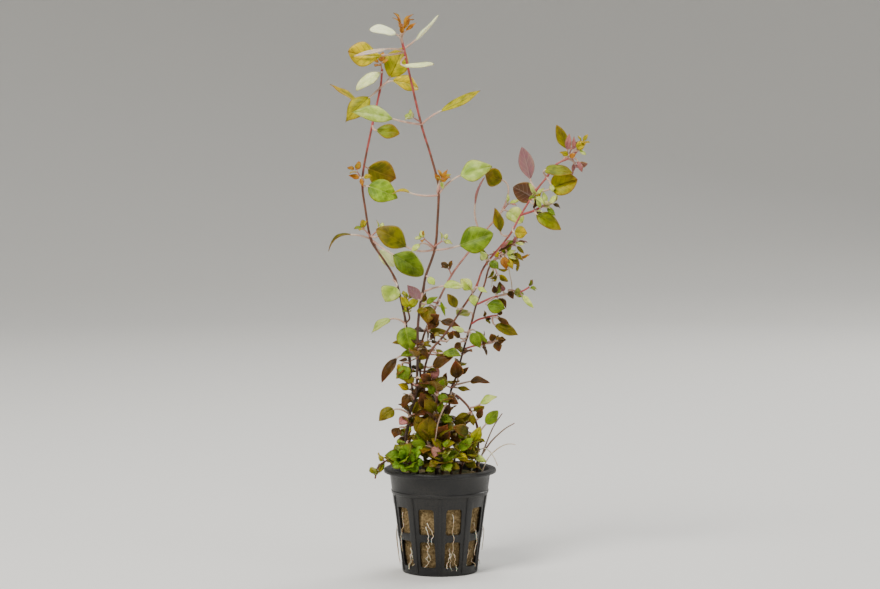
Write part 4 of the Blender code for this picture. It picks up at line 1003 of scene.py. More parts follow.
# A leaf of unit length, before it is stretched on its point
UNIT_LEAF = {
    "Root": (0, -0.3, -0.045), "Bend": (0, -0.14, 0.0), "Neck": (0, 0, 0), "Tip": (0, 1, 0),
    "Face": (0, 0, 1), "Width": 1.0, "Shoulder": 0.75, "Base taper": 0.65, "Curl": 0.06, "Stalk": 0.1,
    "Arch": SMALL_ARCH, "Quilt": 0.02, "Detail": 0.12, "Pale": 0.5, "Rows": 8, "Columns": 5,
    "Stalk steps": 2, "Stalk sides": 5}


def named(tree, label, sort="FLOAT"):
    """The values of an attribute"""
    node = add_node(tree, "GeometryNodeInputNamedAttribute", {"data_type": sort}, name=label)
    return next(socket for socket in node.outputs if socket.name == "Attribute" and socket.enabled)


def small_leaf_tree():
    """The kinds of leaf in two pairs of finishes, and one of them on every point"""
    finishes = ("Top finish", "Under finish", "Other top", "Other under", "Stalk finish")
    inputs = {"Points": "shape", **dict.fromkeys(finishes, "finish")}
    tree, given, out = new_tree("small_leaves", "GeometryNodeTree", inputs, {"Leaves": "shape"})
    kinds = tree.nodes.new("GeometryNodeJoinGeometry")
    # Geometry to Instance joins in reverse order, so the second set of finishes comes first
    for top, under in (("Other top", "Other under"), ("Top finish", "Under finish")):
        for fold, twist, wave, phase, point in LEAF_KINDS:
            node = tree.nodes.new("GeometryNodeGroup")
            node.node_tree = LEAF
            values = {**UNIT_LEAF, "Fold": radians(fold), "Twist": twist, "Wave": wave, "Phase": phase,
                      "Tip taper": point, "Top finish": given[top], "Under finish": given[under],
                      "Stalk finish": given["Stalk finish"]}
            for label, value in values.items():
                plug(tree, value, node.inputs[label])
            single = shaped(tree, "GeometryToInstance", geometry=node.outputs[0])
            tree.links.new(single, kinds.inputs[0])
    ahead, facing, size = (named(tree, label, "FLOAT_VECTOR") for label in ("ahead", "facing", "size"))
    turn = add_node(tree, "FunctionNodeAxesToRotation", {"primary_axis": "Y", "secondary_axis": "Z"},
                    primary_axis=ahead, secondary_axis=facing)
    kind = add_node(tree, "FunctionNodeFloatToInt", float=named(tree, "kind"))
    leaves = shaped(tree, "InstanceOnPoints", points=given["Points"], instance=kinds.outputs[0],
                    pick_instance=True, instance_index=kind.outputs[0], rotation=turn.outputs[0], scale=size)
    plug(tree, shaped(tree, "RealizeInstances", geometry=leaves), out.inputs["Leaves"])
    return tree


SMALL_LEAVES = small_leaf_tree()
print("small leaf tree:", len(SMALL_LEAVES.nodes), "nodes")

# %% [markdown]
# Stems, twigs and roots are all tubes. One tree draws them from lines with a thickness at each point.

# %% The tree that makes tubes
def tube_tree():
    """Round tubes along lines"""
    inputs = {"Lines": "shape", "Sides": "int", "Finish": "finish"}
    tree, given, out = new_tree("tubes", "GeometryNodeTree", inputs, {"Tubes": "shape"})
    curves = shaped(tree, "MeshToCurve", mesh=given["Lines"])
    skin = shaped(tree, "CurveToMesh", curve=curves, profile_curve=ring(tree, given["Sides"], MM),
                  scale=named(tree, "thickness"), fill_caps=True)
    smooth = shaped(tree, "SetShadeSmooth", geometry=skin)
    plug(tree, painted(tree, smooth, given["Finish"]), out.inputs["Tubes"])
    return tree


TUBES = tube_tree()


def tubes(name, lines, sides, finish):
    """One mesh from lines. Each line is a list of points with a radius, an age and a paleness"""
    edges, rows = [], []
    for line in lines:
        edges += [(len(rows) + i, len(rows) + i + 1) for i in range(len(line) - 1)]
        rows += line
    points, thickness, age, pale = zip(*rows)
    mesh = carrier_mesh(name, points, edges, thickness=thickness, age=age, pale=pale)
    return made_by(TUBES, name, mesh, {"Sides": sides, "Finish": finish})


print("tube tree:", len(TUBES.nodes), "nodes")

# %% [markdown]
# ## Where the small leaves go
# These steps and random draws repeat those of the solids, so that each small leaf lies on its solid.

# %% Pairs of small leaves
# The width of a small leaf as a share of its length, on a shoot and in a tuft
SMALL_LEAF_WIDTH = 0.64
TUFT_LEAF_WIDTH = 0.85
# The least distance between two solids that aren't joined
GAP = 0.3
Leaf = namedtuple("Leaf", "neck tip width face")


def step_clear(point, along, toward, stem_radius, own_radius):
    """The first point from a stem's axis toward another that keeps the gap to its skin"""
    way = (toward - point).normalized()
    slant = abs(way.dot(along))
    steep = max(way.cross(along).length, 0.35)
    return point + way * (stem_radius + GAP + own_radius * slant) / steep


def pair_of_leaves(base, along, turn, length, rise, breadth):
    """Two small leaves opposite each other across a shoot"""
    aside = along.orthogonal().normalized()
    aside.rotate(Matrix.Rotation(turn, 3, along))
    pair = []
    for side in (1, -1):
        out = (aside * side * cos(rise) + along * sin(rise)).normalized()
        face = along * cos(rise) - aside * side * sin(rise)
        neck = base + out * length * SMALL_PETIOLE
        tip = neck + (out - face * TIP_DROOP).normalized() * length
        pair.append(Leaf(neck, tip, length * breadth, face))
    return pair


def along_line(axis, share):
    """The point at a share of an evenly spaced line"""
    place = min(max(share, 0), 1) * (len(axis) - 1)
    start = min(int(place), len(axis) - 2)
    return axis[start].lerp(axis[start + 1], place - start)


def small_leaves(axis, shoot):
    """Leaves in opposite pairs along a shoot, each pair a quarter turn from the last"""
    draw = random.Random(shoot.seed)
    breadth = SMALL_LEAF_WIDTH if shoot.parent else TUFT_LEAF_WIDTH
    leaves = []
    for number in range(shoot.pairs):
        share = TOP_PAIR * (number + 1) / shoot.pairs
        ahead = along_line(axis, share + 0.03) - along_line(axis, share - 0.03)
        size = shoot.leaf * (1 - SHRINK * share) * draw.uniform(0.85, 1.15)
        angle = radians(shoot.turn) + number * pi / 2 + draw.uniform(-0.3, 0.3)
        rise = radians(20 + 35 * share + draw.uniform(-8, 8))
        leaves.append(pair_of_leaves(along_line(axis, share), ahead.normalized(), angle, size, rise, breadth))
    return leaves


def sprout_leaves(axis, sprout):
    """The leaves at the end of a sprout too thin to model, grown from the stem's own axis"""
    root = at_height(axis, sprout.height)[0]
    way = Vector(sprout.way).normalized()
    draw = random.Random(sprout.seed)
    leaves = []
    for number in range(sprout.pairs):
        angle = radians(sprout.turn) + number * pi / 2
        rise = radians(draw.uniform(35, 50) + 15 * number)
        base = root + way * sprout.length * (number + 1) / sprout.pairs
        leaves.append(pair_of_leaves(base, way, angle, sprout.leaf, rise, SMALL_LEAF_WIDTH))
    return leaves


def radius_at(radii, axis, height):
    """A stem's radius at a height"""
    share = (height - axis[0].z) / (axis[-1].z - axis[0].z)
    return radii[0] + (radii[1] - radii[0]) * min(max(share, 0), 1)


# %% [markdown]
# The leaves between the solid ones are too many to be solids of their own, so each is made here at
# its own place, as a part of the stem or tuft that it grows from.

# %% Leaves between the solid ones
# By stem and finish: height on the stem, x, y and z of the neck, x, y and z of the tip, and width
MORE_LEAVES = {
    "centre_tuft": {
      GREEN: [(86, -2.5, -12.5, 87.5, -6.4, -14.5, 91.8, 4.4), (87, -1, -13, 86.5, 4.4, -15.5, 83.4, 4.6),
        (87, -0.5, -12.5, 89, 1.8, -14.5, 94.4, 3.6), (80, -0.8, -12.5, 78, 1.6, -15, 83.2, 3.4),
        (72, 0.4, -13, 75.8, 6, -15, 74.4, 4.2), (60, -6.5, -11, 62, -14.4, -14.5, 64, 5),
        (56, -6, -9, 64, -12, -10, 68, 4.6), (70, 0.5, -11.5, 74, 6, -13.5, 76.4, 4.5)],
      OLIVE: [(82, -4, -9, 86, -10, -10, 80, 7), (76, -5, -8, 81, -3.4, -10, 71, 7.5),
        (66, -4, -10, 73, -6.4, -11.5, 64.5, 6.6), (57, -5, -11, 57.5, -10.5, -14, 59, 4.6),
        (55, -4.5, -11, 55, -8.6, -14, 51.6, 4.6)],
      BRONZE: [(68, 0, -9.5, 75.5, 2.5, -10.5, 66.5, 7), (90, -4.5, -11, 92, -9, -12, 96.5, 5),
        (86, 3, -13.5, 85.6, 8.8, -15, 82.6, 4.4)],
      YELLOW: [(64, -6.5, -10.5, 68.5, -12, -12.5, 70.4, 3.4)]},
    "front_tuft": {
      PALE: [(52, 0, -18, 53.2, 5.6, -20.4, 51.8, 3.8), (57, 1, -18, 57.4, 5.2, -20, 60.8, 3)],
      GREEN: [(56, 2.5, -17.5, 58.6, 4.2, -19.5, 53.4, 3.8), (52, -2, -17, 52.5, -7, -19, 50.8, 4),
        (55, 3, -18.5, 54.6, 4.6, -23.5, 51.2, 5.4)],
      OLIVE: [(54, -1, -18, 56, -5.2, -20, 53, 4.2), (53, 4.5, -17, 54, 9.5, -18.5, 52, 4),
        (58, -1, -17, 60, -5.5, -18.5, 58, 4.4)]},
    "right_tuft": {
      GREEN: [(60, 8.5, -12.5, 60.5, 14.6, -16, 66, 4), (61, 12, -11, 65.5, 8, -13, 69.5, 4),
        (55, 9.6, -14, 60, 15.6, -17, 66.8, 4.4)],
      BRONZE: [(57, 12, -11.5, 62, 17, -14, 56, 5)],
      PALE: [(52, 16, -11, 57, 22.2, -13.5, 54.8, 3.6)],
      OLIVE: [(54, 12.5, -12, 54.5, 17.5, -15, 52, 4.4), (53, 8.5, -12, 54, 5.5, -16, 50.8, 4.2)],
      YELLOW: [(54, 8, -14.5, 58.6, 13.8, -17.5, 55.4, 4.2)]},
    "rosette": {
      GREEN: [(53, -17.5, -16, 54.5, -22.4, -19.5, 53.4, 5), (54, -16, -16, 56.5, -19.6, -18.5, 60.4, 4.8),
        (54, -14.5, -16.5, 55.5, -12.6, -20, 59.8, 5), (53, -16, -17, 53.5, -17.4, -21.5, 51.4, 5.2),
        (52, -13.5, -17, 53.5, -11, -21, 51.2, 5), (52, -12.5, -16, 55, -7.8, -18.5, 54.4, 4.6)]},
    "slim_stem": {
      PALE: [(115.5, 11.6, -1, 115.2, 6, -2.5, 117.6, 2.8), (152, 32, -3, 152.4, 36.2, -5, 154.4, 2.2),
        (152, 32.5, -3, 151.8, 36.6, -5, 150, 2), (155, 36.4, -2, 157.6, 40.4, -4, 157, 1.8)],
      YELLOW: [(150, 28.2, -3, 151.4, 25.4, -4.5, 153.8, 2.8), (148, 32.6, -2.5, 150, 35, -4.5, 145.4, 3)],
      GREEN: [(115, 17, 0, 115.6, 23.2, -1.5, 109.6, 2.6), (154, 31.6, -2.5, 156.6, 35, -4, 159, 2.8)],
      BRONZE: [(112, 9.6, -1, 112.4, 5.8, -2.5, 116, 3), (110, 9.8, -1, 110, 6.6, -2.5, 106.6, 3),
        (95, 10.6, 0, 95, 13.6, -1, 98.4, 2.4), (85.5, 7, -1.8, 85, 1.6, -4, 82.2, 3.8),
        (66, 6, -3, 68, 9.5, -5, 62, 5), (150, 28, -3, 153.6, 35.4, -5, 157.8, 1.6)],
      OLIVE: [(88.5, 8.5, -1, 88.4, 14.8, -2.5, 87.4, 2.6), (72, 7, -3, 73, 12.5, -5, 70, 4.6),
        (149, 34.5, -2, 151.5, 38.4, -4, 146.4, 2.8), (149, 35.8, -2, 153, 40, -4, 149.4, 2.4),
        (153, 37, -2, 156, 40.4, -4, 152.8, 2.2)],
      YOUNG: [(148, 30.5, -2, 151, 32, -4, 145, 4.4)],
      PINK: [(155, 35, -2, 157.4, 36.8, -4, 161.2, 1.8), (150, 29, -3, 154.6, 33.6, -5, 159.4, 1.7)]},
    "left_stem": {
      OLIVE: [(110, -16.8, -1.5, 110.6, -23, -2.5, 110, 2.6)],
      GREEN: [(106, -11.5, -5, 106.4, -18.8, -7, 104.6, 3.8), (95, -14.6, -2.5, 94.6, -17, -4, 92, 2.6)],
      YELLOW: [(90, -15, -3, 88, -20, -4.5, 90.6, 3.6), (103, -11, -3, 103.8, -5, -5, 103, 3.2),
        (187, -36.6, -2.5, 189.2, -32.4, -3.5, 189.8, 2.6)],
      BRONZE: [(74, -10, -2, 76, -14.5, -3.5, 70, 5)],
      YOUNG: [(187, -38.8, -2.5, 189, -44, -3.5, 190, 2.6), (187, -38.2, -3, 188.6, -37, -4.5, 185, 2)],
      PALE: [(161, -29.4, -2, 161.4, -26.8, -3, 164, 2)]},
    "tall_stem": {
      PALE: [(143, -5.6, -5, 142.6, -2.6, -7, 139.2, 3.6), (183, 0.4, -3.5, 188.2, 1.6, -5, 184.8, 1.9),
        (156, -9.6, -4, 158.4, -13.6, -5, 155, 2.8)],
      GREEN: [(130, -6.6, -5, 130.2, -1, -6, 133.4, 2.8)],
      OLIVE: [(126.5, -11, -6, 126.4, -5.6, -8, 127.4, 3.2), (94, -9.5, -8, 94.5, -5, -9.5, 90, 5)],
      BRONZE: [(107, -9, -7, 108.4, -5.6, -8, 104.6, 3.4), (64, -15.6, -10, 63, -12.2, -11.5, 56.6, 3.6),
        (84, -14.8, -9, 86.5, -18.2, -10.5, 80.4, 4.5)],
      YOUNG: [(255, -16.8, -1, 260, -14, -2, 265, 2.2), (254, -16, -1, 259, -11.2, -2, 262.8, 1.9),
        (254, -18.4, -2, 258, -16.8, -3.5, 260.8, 2.4), (183, 0.4, -3, 188.6, 3.6, -4, 194, 2.2),
        (183, 0, -3, 188.6, -2.8, -4, 192, 2.4), (183, 0.8, -3, 188, 4.4, -4, 190.8, 2.2)],
      PINK: [(76, -15.6, -10.5, 75.6, -19.4, -12.5, 72.6, 5),
        (249.4, -25, -4.5, 250.4, -41, -6, 247.2, 2.2)]},
    "right_runner": {
      OLIVE: [(76.5, 15.2, -6, 76, 16, -8, 71, 3.2), (77, 13.2, -5.5, 76.8, 7, -8, 74, 2.8)],
      BRONZE: [(74, 18.2, -7, 74.2, 20.2, -8, 79.4, 3.4)]},
    "middle_stem": {
      OLIVE: [(126, -5.2, 1, 127.4, -6.4, -3, 119, 8), (118, -5, 1, 116, 5.6, -2, 114.4, 3.2),
        (84, -6, 2, 86, -1, -1, 79, 6), (66, 0, 3, 68, 4, 0, 61, 6)],
      BRONZE: [(121, -1, 0, 121, -6, -3, 116.4, 5), (92, -6.5, 2, 95, -2.5, -1, 88, 5.6)],
      PALE: [(127, -0.5, 1, 127.6, 3.4, 0, 126.4, 1.8)],
      GREEN: [(129, 0.4, 0, 129.6, 2.6, -1, 122.4, 1.8)]},
    "right_stem": {
      PALE: [(135.4, 14.8, -3, 136.4, 10, -5, 141.6, 6), (134.6, 15.6, -3, 134, 16.4, -4.5, 128.6, 4.6),
        (136, 18, -1.5, 137.4, 22.6, -3, 135, 2.4), (151, 21.6, -3, 151, 18.8, -5, 154.8, 3.8),
        (202, 66, -2, 202.6, 68.8, -3.5, 201, 2), (181, 45.4, -3, 180.6, 43.8, -4.5, 184.8, 2),
        (179, 44.6, -3, 177.8, 46.6, -4.5, 181.6, 2), (190, 52.4, -3.5, 186.6, 53.4, -4.5, 183.2, 2.6)],
      BRONZE: [(112, 4.4, -3, 112.6, 6.4, -5, 116.8, 3.4), (90, -6, -4, 93, -1.2, -6, 87, 5.4)],
      GREEN: [(150.6, 24, -3, 150, 27.8, -5, 146.4, 4.4)],
      OLIVE: [(80, -8.5, -3.5, 82, -13, -5, 75, 6), (62, -2, -4, 62, -7, -6, 57, 5.4),
        (127.5, 8, -3.5, 128, 3.6, -4.5, 134.5, 4.5)],
      YOUNG: [(200.5, 61.2, -3, 199.6, 64, -4.5, 201.2, 2.6)],
      PINK: [(200.5, 63.2, -1, 203, 63.2, -2.5, 209.8, 2), (200, 60.2, -1.5, 202.8, 61, -2.5, 210.6, 3),
        (199.5, 65.2, -2, 197.6, 67.2, -3.5, 192.4, 2.4), (198.5, 63.3, 0, 196.4, 62.8, 0, 192, 1.7)],
      YELLOW: [(180, 46, -3, 179.6, 47.6, -4.5, 183.4, 2), (204, 64.4, -2, 203.8, 69, -4, 207, 4.4),
        (200.5, 60.6, -3, 200.6, 56.4, -4, 202, 2.6)]},
    "young_shoot": {
      YELLOW: [(130, -15, -6.5, 127.4, -18.8, -8, 132.8, 4), (130, -14.6, -6.5, 127.4, -10.2, -8, 132.4, 4)]},
    "low_red_shoot": {
      BRONZE: [(122.8, 27.6, -4, 122, 33.4, -5, 119, 2.8)]},
    "red_shoot": {
      BRONZE: [(133, 26.6, 0, 133.6, 25.8, -1, 137.6, 3), (134, 33, -1, 134.6, 35.4, -2, 131, 3.2)],
      PINK: [(133.5, 30.4, 0, 134.4, 30, -1, 138, 2.4)],
      PALE: [(134, 39.4, -1, 132.6, 45, -2, 126.4, 3)]},
    "bronze_shoot": {
      BRONZE: [(109, 27, 4, 110, 28.6, 3, 105.2, 4.2), (109, 26, 4, 110.4, 24.4, 3, 114, 3.8),
        (109.6, 28, 4, 110.6, 32, 3, 111, 3.6)]},
    "upper_right_shoot": {
      PALE: [(177, 50.4, -4.5, 177.6, 48.6, -6, 183.4, 2.4), (177, 52, -4.5, 177.8, 55.4, -6, 182, 2.6),
        (175.6, 47.4, -4.5, 175.6, 45.4, -6, 181.4, 2.4)],
      GREEN: [(176, 50.8, -4.5, 175.6, 54.6, -6.5, 172, 2.8)]}}
# The way that they face, the rise of the midrib as a share of the width, and the fold
TO_FRONT = (0, -0.9, 0.4)
EXTRA_ARCH = 0.12
EXTRA_FOLD = 13


def grown_leaves(name, axis):
    """The larger leaves that are part of a stem or a tuft"""
    rows = list(GROWN_LEAVES.get(name, []))
    for finish, more in MORE_LEAVES.get(name, {}).items():
        rows += [(row[0], row[1:4], row[4:7], row[7], TO_FRONT, row[7] * EXTRA_ARCH, EXTRA_FOLD, finish)
                 for row in more]
    return [large_leaf(f"{name}_grown_{number}", name, row, axis) for number, row in enumerate(rows, 1)]


print("leaves between them:", sum(len(rows) for kinds in MORE_LEAVES.values() for rows in kinds.values()))

# %% [markdown]
# A stem becomes one piece: a mesh of tubes for the stalks and one of small leaves, joined with the
# larger leaves that grow on it.

# %% A stem or a shoot as one piece
# Finishes of the small leaves round the feet of the stems, and the share of the second of two finishes
FOOT_FINISHES = (OLIVE, BRONZE)
OTHER_SHARE = 0.34
# How much longer a small leaf is than its solid
LENGTHENED = 1.1
# Steps of a drawn stem for each step of its solid
FINE = 6
# Small leaves turn their upper side to the light
TO_LIGHT = Vector((-0.1, -0.85, 0.3))


def leaf_points(name, pairs, breadth, draw):
    """A carrier with a point for each small leaf"""
    rows = []
    for leaf in [leaf for pair in pairs for leaf in pair]:
        way = leaf.tip - leaf.neck
        facing = (leaf.face + TO_LIGHT * draw.uniform(0.1, 1.3)).normalized()
        length = way.length * MM * LENGTHENED
        size = Vector((leaf.width * breadth * MM, length, length))
        other = draw.random() < OTHER_SHARE
        form = len(LEAF_KINDS) - 1 if name in ROUND_LEAVED else draw.randrange(len(LEAF_KINDS))
        kind = float(form + len(LEAF_KINDS) * other)
        blush = draw.uniform(0.1, 0.8)
        # A random tone, drawn more often darker as painted shade among the crowded small leaves, and darker
        # still by the painted shade of the thick of the plant
        shade = draw.uniform(-0.6, 0.25) + PAINTED_SHADE.get(name, 0.0)
        rows.append((leaf.neck, way.normalized(), facing, size, kind, blush, shade, GREENER.get(name, 0.0)))
    points, ahead, facing, size, kind, blush, shade, greener = zip(*rows)
    return carrier_mesh(name, points, (), ahead=ahead, facing=facing, size=size, kind=kind, blush=blush,
                        shade=shade, greener=greener)


def joined_piece(name, objects):
    """Several objects joined into the first, as one piece"""
    bpy.ops.object.select_all(action="DESELECT")
    for obj in objects:
        obj.select_set(True)
    bpy.context.view_layer.objects.active = objects[0]
    bpy.ops.object.join()
    objects[0].name = name
    return objects[0]


# A stem's thickness between its leaf joints against its solid's, how much thicker it is at a joint,
# and how far from the joint it swells
BETWEEN_JOINTS, SWELLING, SWOLLEN_REACH = 0.84, 0.36, 1.1


def stem_line(axis, radii, joints, ages, youth=1.0, pale_top=0.0):
    """An axis with its tapering radius, its age and how pale it is"""
    line = []
    for index, point in enumerate(axis):
        share = index / (len(axis) - 1)
        swell = max((1 - abs(point.z - joint) / SWOLLEN_REACH for joint in joints), default=0)
        radius = (radii[0] + (radii[1] - radii[0]) * share) * (BETWEEN_JOINTS + SWELLING * max(swell, 0))
        age = ages[0] + (ages[1] - ages[0]) * share
        line.append((point, radius, age**youth, pale_top * share**3))
    return line


# The stalk of a sprout: its radius, how much of it is lost on its way, and how pale it is
TWIG_RADIUS, TWIG_TAPER, TWIG_PALENESS = 0.42, 0.3, 0.3


def twig(start, end):
    """A thin straight stalk between two points"""
    return [(start.lerp(end, share), TWIG_RADIUS * (1 - TWIG_TAPER * share), 0.0, TWIG_PALENESS)
            for share in (0, 0.5, 1)]


def leafy_piece(name, lines, sides, groups, grown):
    """One piece of tubes, small and grown leaves. A group is pairs, two finishes and a breadth"""
    draw = random.Random(name)
    objects = [tubes(name, lines, sides, STEM_SKIN)]
    for pairs, (main, other), breadth in groups:
        values = {"Top finish": TOPS[main], "Under finish": UNDERS[main], "Other top": TOPS[other],
                  "Other under": UNDERS[other], "Stalk finish": STEM_SKIN}
        points = leaf_points(name, pairs, breadth, draw)
        objects.append(made_by(SMALL_LEAVES, name + "_small", points, values))
    return joined_piece(name, objects + grown)


def add_piece(piece, node):
    """Hands a finished piece over in place of its solid"""
    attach(piece, "root")
    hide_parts(node)


# %% [markdown]
# ## The five stems
# Each stem is a tube along its route, thick and dark at the foot, thin and red at the top, with a
# swollen ring at every pair of leaves.

# %% Stems with their sprouts
def foot_pairs(name, axis):
    """Pairs of small leaves round a stem's foot, a quarter turn from each other"""
    low, high, count, length = STEMS[name].foot
    draw = random.Random(name + " foot")
    pairs = []
    for number in range(count):
        root, along = at_height(axis, low + (high - low) * (number + draw.uniform(0.1, 0.9)) / count)
        angle = number * pi / 2 + draw.uniform(-0.5, 0.5)
        rise = radians(draw.uniform(-20, 45))
        size = length * draw.uniform(0.7, 1.2)
        pairs.append(pair_of_leaves(root, along, angle, size, rise, draw.uniform(0.5, 0.75)))
    return pairs


def younger_pairs(axis, sprout):
    """The youngest leaves of a sprout, between and above its own"""
    pairs = []
    for number, (place, share, more) in enumerate(sprout.younger, 1):
        pairs += sprout_leaves(axis, sprout._replace(
            length=sprout.length * place, pairs=1, leaf=sprout.leaf * share, turn=sprout.turn + more,
            seed=sprout.seed + 50 * number))
    return pairs


axes = {}
for name, stem in STEMS.items():
    route = [Vector(point) + lean_at(name, point[2]) for point in stem.path]
    axis = axes[name] = smooth_line(route, stem.points)
    fine = smooth_line(route, (stem.points - 1) * FINE + 1)
    sprouts = [Sprout(*row) for row in SPROUTS[name]]
    joints = [row[0] for row in LEAVES[name] + GROWN_LEAVES.get(name, []) + sprouts]
    radii = [radius * stem.thickness for radius in stem.radii]
    lines = [stem_line(fine, radii, joints, (1.0, 0.0), stem.youth, stem.pale)]
    groups = [(foot_pairs(name, axis), FOOT_FINISHES, BREADTH)]
    for sprout in sprouts:
        pairs = sprout_leaves(axis, sprout) + younger_pairs(axis, sprout)
        groups.append((pairs, sprout.finishes or stem.finishes, sprout.breadth))
        root = at_height(axis, sprout.height)[0]
        lines.append(twig(root, root + Vector(sprout.way).normalized() * sprout.length))
    add_piece(leafy_piece(name, lines, 14, groups, grown_leaves(name, axis)), name)
print("stems done:", ", ".join(STEMS))

# %% [markdown]
# ## Side shoots and tufts
# A young shoot is a short red stem with leaves crowded toward its tip. In a tuft only the leaves are
# seen, so the same step makes both.

# %% Shoots and tufts
# Age at foot and tip where it isn't as on most
SHOOT_AGES = {"right_runner": (0.3, 1.0), "young_shoot": (0.5, 0.2), "trailing_shoot": (0.9, 0.5),
              "upper_right_shoot": (0.1, 0.0), "red_shoot": (0.12, 0.0), "low_red_shoot": (0.15, 0.0)}
# How much thicker a shoot is than its solid, and how much larger its small leaves
THICKENED = 1.2
ENLARGED = {"upper_right_shoot": 1.25, "red_shoot": 1.2, "bronze_shoot": 1.15, "trailing_shoot": 1.1}
# Size, turn and seed of the pairs between, against the shoot's own
BETWEEN_SIZE, BETWEEN_TURN, BETWEEN_SEED = 0.8, 45, 100


def fuller(leafy, shoot):
    """The shoot's own pairs, and as many again between them, somewhat smaller"""
    between = shoot._replace(leaf=shoot.leaf * BETWEEN_SIZE, turn=shoot.turn + BETWEEN_TURN,
                             seed=shoot.seed + BETWEEN_SEED)
    return small_leaves(leafy, shoot) + small_leaves(leafy, between)


for name, shoot in SHOOTS.items():
    route = [Vector(point) + lean_at(name, 0) for point in shoot.path]
    start = []
    if shoot.parent:
        point, along = at_height(axes[shoot.parent], shoot.height)
        radius = radius_at({**STEMS, **SHOOTS}[shoot.parent].radii, axes[shoot.parent], shoot.height)
        route.insert(0, step_clear(point, along, route[0], radius, shoot.radii[0]))
        start = [point]
    axis = axes[name] = smooth_line(route, shoot.points)
    fine = start + smooth_line(route, (shoot.points - 1) * FINE + 1)
    leafy = even([point for point in axis if point.z > WOOL_TOP + 1], shoot.points)
    ages = SHOOT_AGES.get(name, (0.3, 0.05) if shoot.parent else (0.8, 0.4))
    lines = [stem_line(fine, [radius * THICKENED for radius in shoot.radii], [], ages)]
    pairs = fuller(leafy, shoot._replace(leaf=shoot.leaf * ENLARGED.get(name, 1.0)))
    groups = [(pairs, shoot.finishes, BREADTH)]
    add_piece(leafy_piece(name, lines, 12, groups, grown_leaves(name, axis)), name)
print("shoots done:", ", ".join(SHOOTS))

# %% [markdown]
# The forty large leaves are pieces of their own, each in place of its solid.

# %% Large leaves
for stem, rows in LEAVES.items():
    for number, row in enumerate(rows, 1):
        name = f"{stem}_leaf_{number}"
        add_piece(large_leaf(name, stem, row, axes[stem]), name)
print("large leaves done:", sum(len(rows) for rows in LEAVES.values()))

# %% [markdown]
# ## The net pot
# Nurseries sell such plants in thin black net pots: a tapered cup with two rows of windows, thin ribs
# between them and a flat rim to lift it by. The cup is a turned outline, and Geometry Nodes puts one
# rounded cutter on each point of a circle for the windows.

# %% Pot sizes
POT_SIDES = 120
POT_HEIGHT = 50.0
POT_TOP_RADIUS = 24.5
POT_FOOT_RADIUS = 18.0
POT_WALL = 1.1
POT_FLOOR = 1.4
RIM_RADIUS = 27.0
RIM_DEPTH = 2.0
WINDOW_COLUMNS = 10
WINDOW_SIZE = (7.6, 12.5)
WINDOW_CENTRES = (10.5, 26.5)
FLOOR_SLOT = (8.0, 2.4)
FLOOR_SLOTS = 4
FLOOR_SLOT_RADIUS = 10.5
# The corner radius and depth of what cuts a window and a slot
WINDOW_CORNER, WINDOW_DEPTH = 1.3, 30.0
SLOT_CORNER, SLOT_DEPTH = 1.1, 6.0
# The ribs between the windows, how high they start, and how deep they are sunk in the wall
RIB_WIDTH, RIB_DEPTH, RIB_HEIGHT = 1.3, 1.0, 36.5
RIB_FOOT = 1.2
RIB_SUNK = 0.1


def pot_radius(height):
    """The outer wall's radius at a height"""
    return POT_FOOT_RADIUS + (POT_TOP_RADIUS - POT_FOOT_RADIUS) * height / POT_HEIGHT


def turned(name, outline, sides):
    """A round mesh from the half outline of its section, from the bottom up, outside first"""
    points, rings, faces = [], [], []
    for radius, height in outline:
        # A point on the axis is a single one
        count = sides if radius else 1
        rings.append([len(points) + side % count for side in range(sides + 1)])
        angles = [tau * side / count for side in range(count)]
        points += [(radius * cos(angle) * MM, radius * sin(angle) * MM, height * MM) for angle in angles]
    for low, high in zip(rings, rings[1:]):
        for side in range(sides):
            corners = (low[side], low[side + 1], high[side + 1], high[side])
            faces.append(tuple(dict.fromkeys(corners)))
    mesh = bpy.data.meshes.new(name)
    mesh.from_pydata(points, [], faces)
    return mesh


# %% The tree that cuts the windows
def rounded_block(tree, width, height, corner, depth):
    """A block with rounded corners, pushed out along its own Z axis"""
    sheet = shaped(tree, "CurvePrimitiveQuadrilateral", width=width, height=height)
    rounded = shaped(tree, "FilletCurve", {"mode": "POLY"}, curve=sheet, count=4, radius=corner,
                     limit_radius=True)
    filled = shaped(tree, "FillCurve", {"mode": "NGONS"}, curve=rounded)
    solid = shaped(tree, "ExtrudeMesh", mesh=filled, offset_scale=depth)
    both = joined_shapes(tree, solid, shaped(tree, "FlipFaces", mesh=filled))
    return shaped(tree, "MergeByDistance", geometry=both, distance=0.01 * MM)


def round_array(tree, shape, count, radius, height, tilt=0.0, shift=0.0):
    """Copies of a shape on a circle, X axes outward. The shift is a share of a turn"""
    circle = shaped(tree, "MeshCircle", vertices=count, radius=radius)
    angle = (Number(tree, shaped(tree, "InputIndex")) / count + shift) * tau
    rotation = add_node(tree, "FunctionNodeEulerToRotation", euler=combined(tree, y=tilt, z=angle))
    spot = combined(tree, x=angle.math("COSINE") * radius, y=angle.wave() * radius, z=height)
    moved = shaped(tree, "SetPosition", geometry=circle, position=spot)
    copies = shaped(tree, "InstanceOnPoints", points=moved, instance=shape, rotation=rotation.outputs[0])
    return shaped(tree, "RealizeInstances", geometry=copies)


def boolean(tree, operation, first, *others):
    """A shape united with others, or with others cut out of it"""
    node = add_node(tree, "GeometryNodeMeshBoolean", {"operation": operation, "solver": "EXACT"})
    main, rest = [socket for socket in node.inputs if socket.name in ("Mesh 1", "Mesh 2", "Mesh")][:2]
    tree.links.new(first, rest if operation == "UNION" else main)
    for shape in others:
        tree.links.new(shape, rest)
    return node.outputs[0]


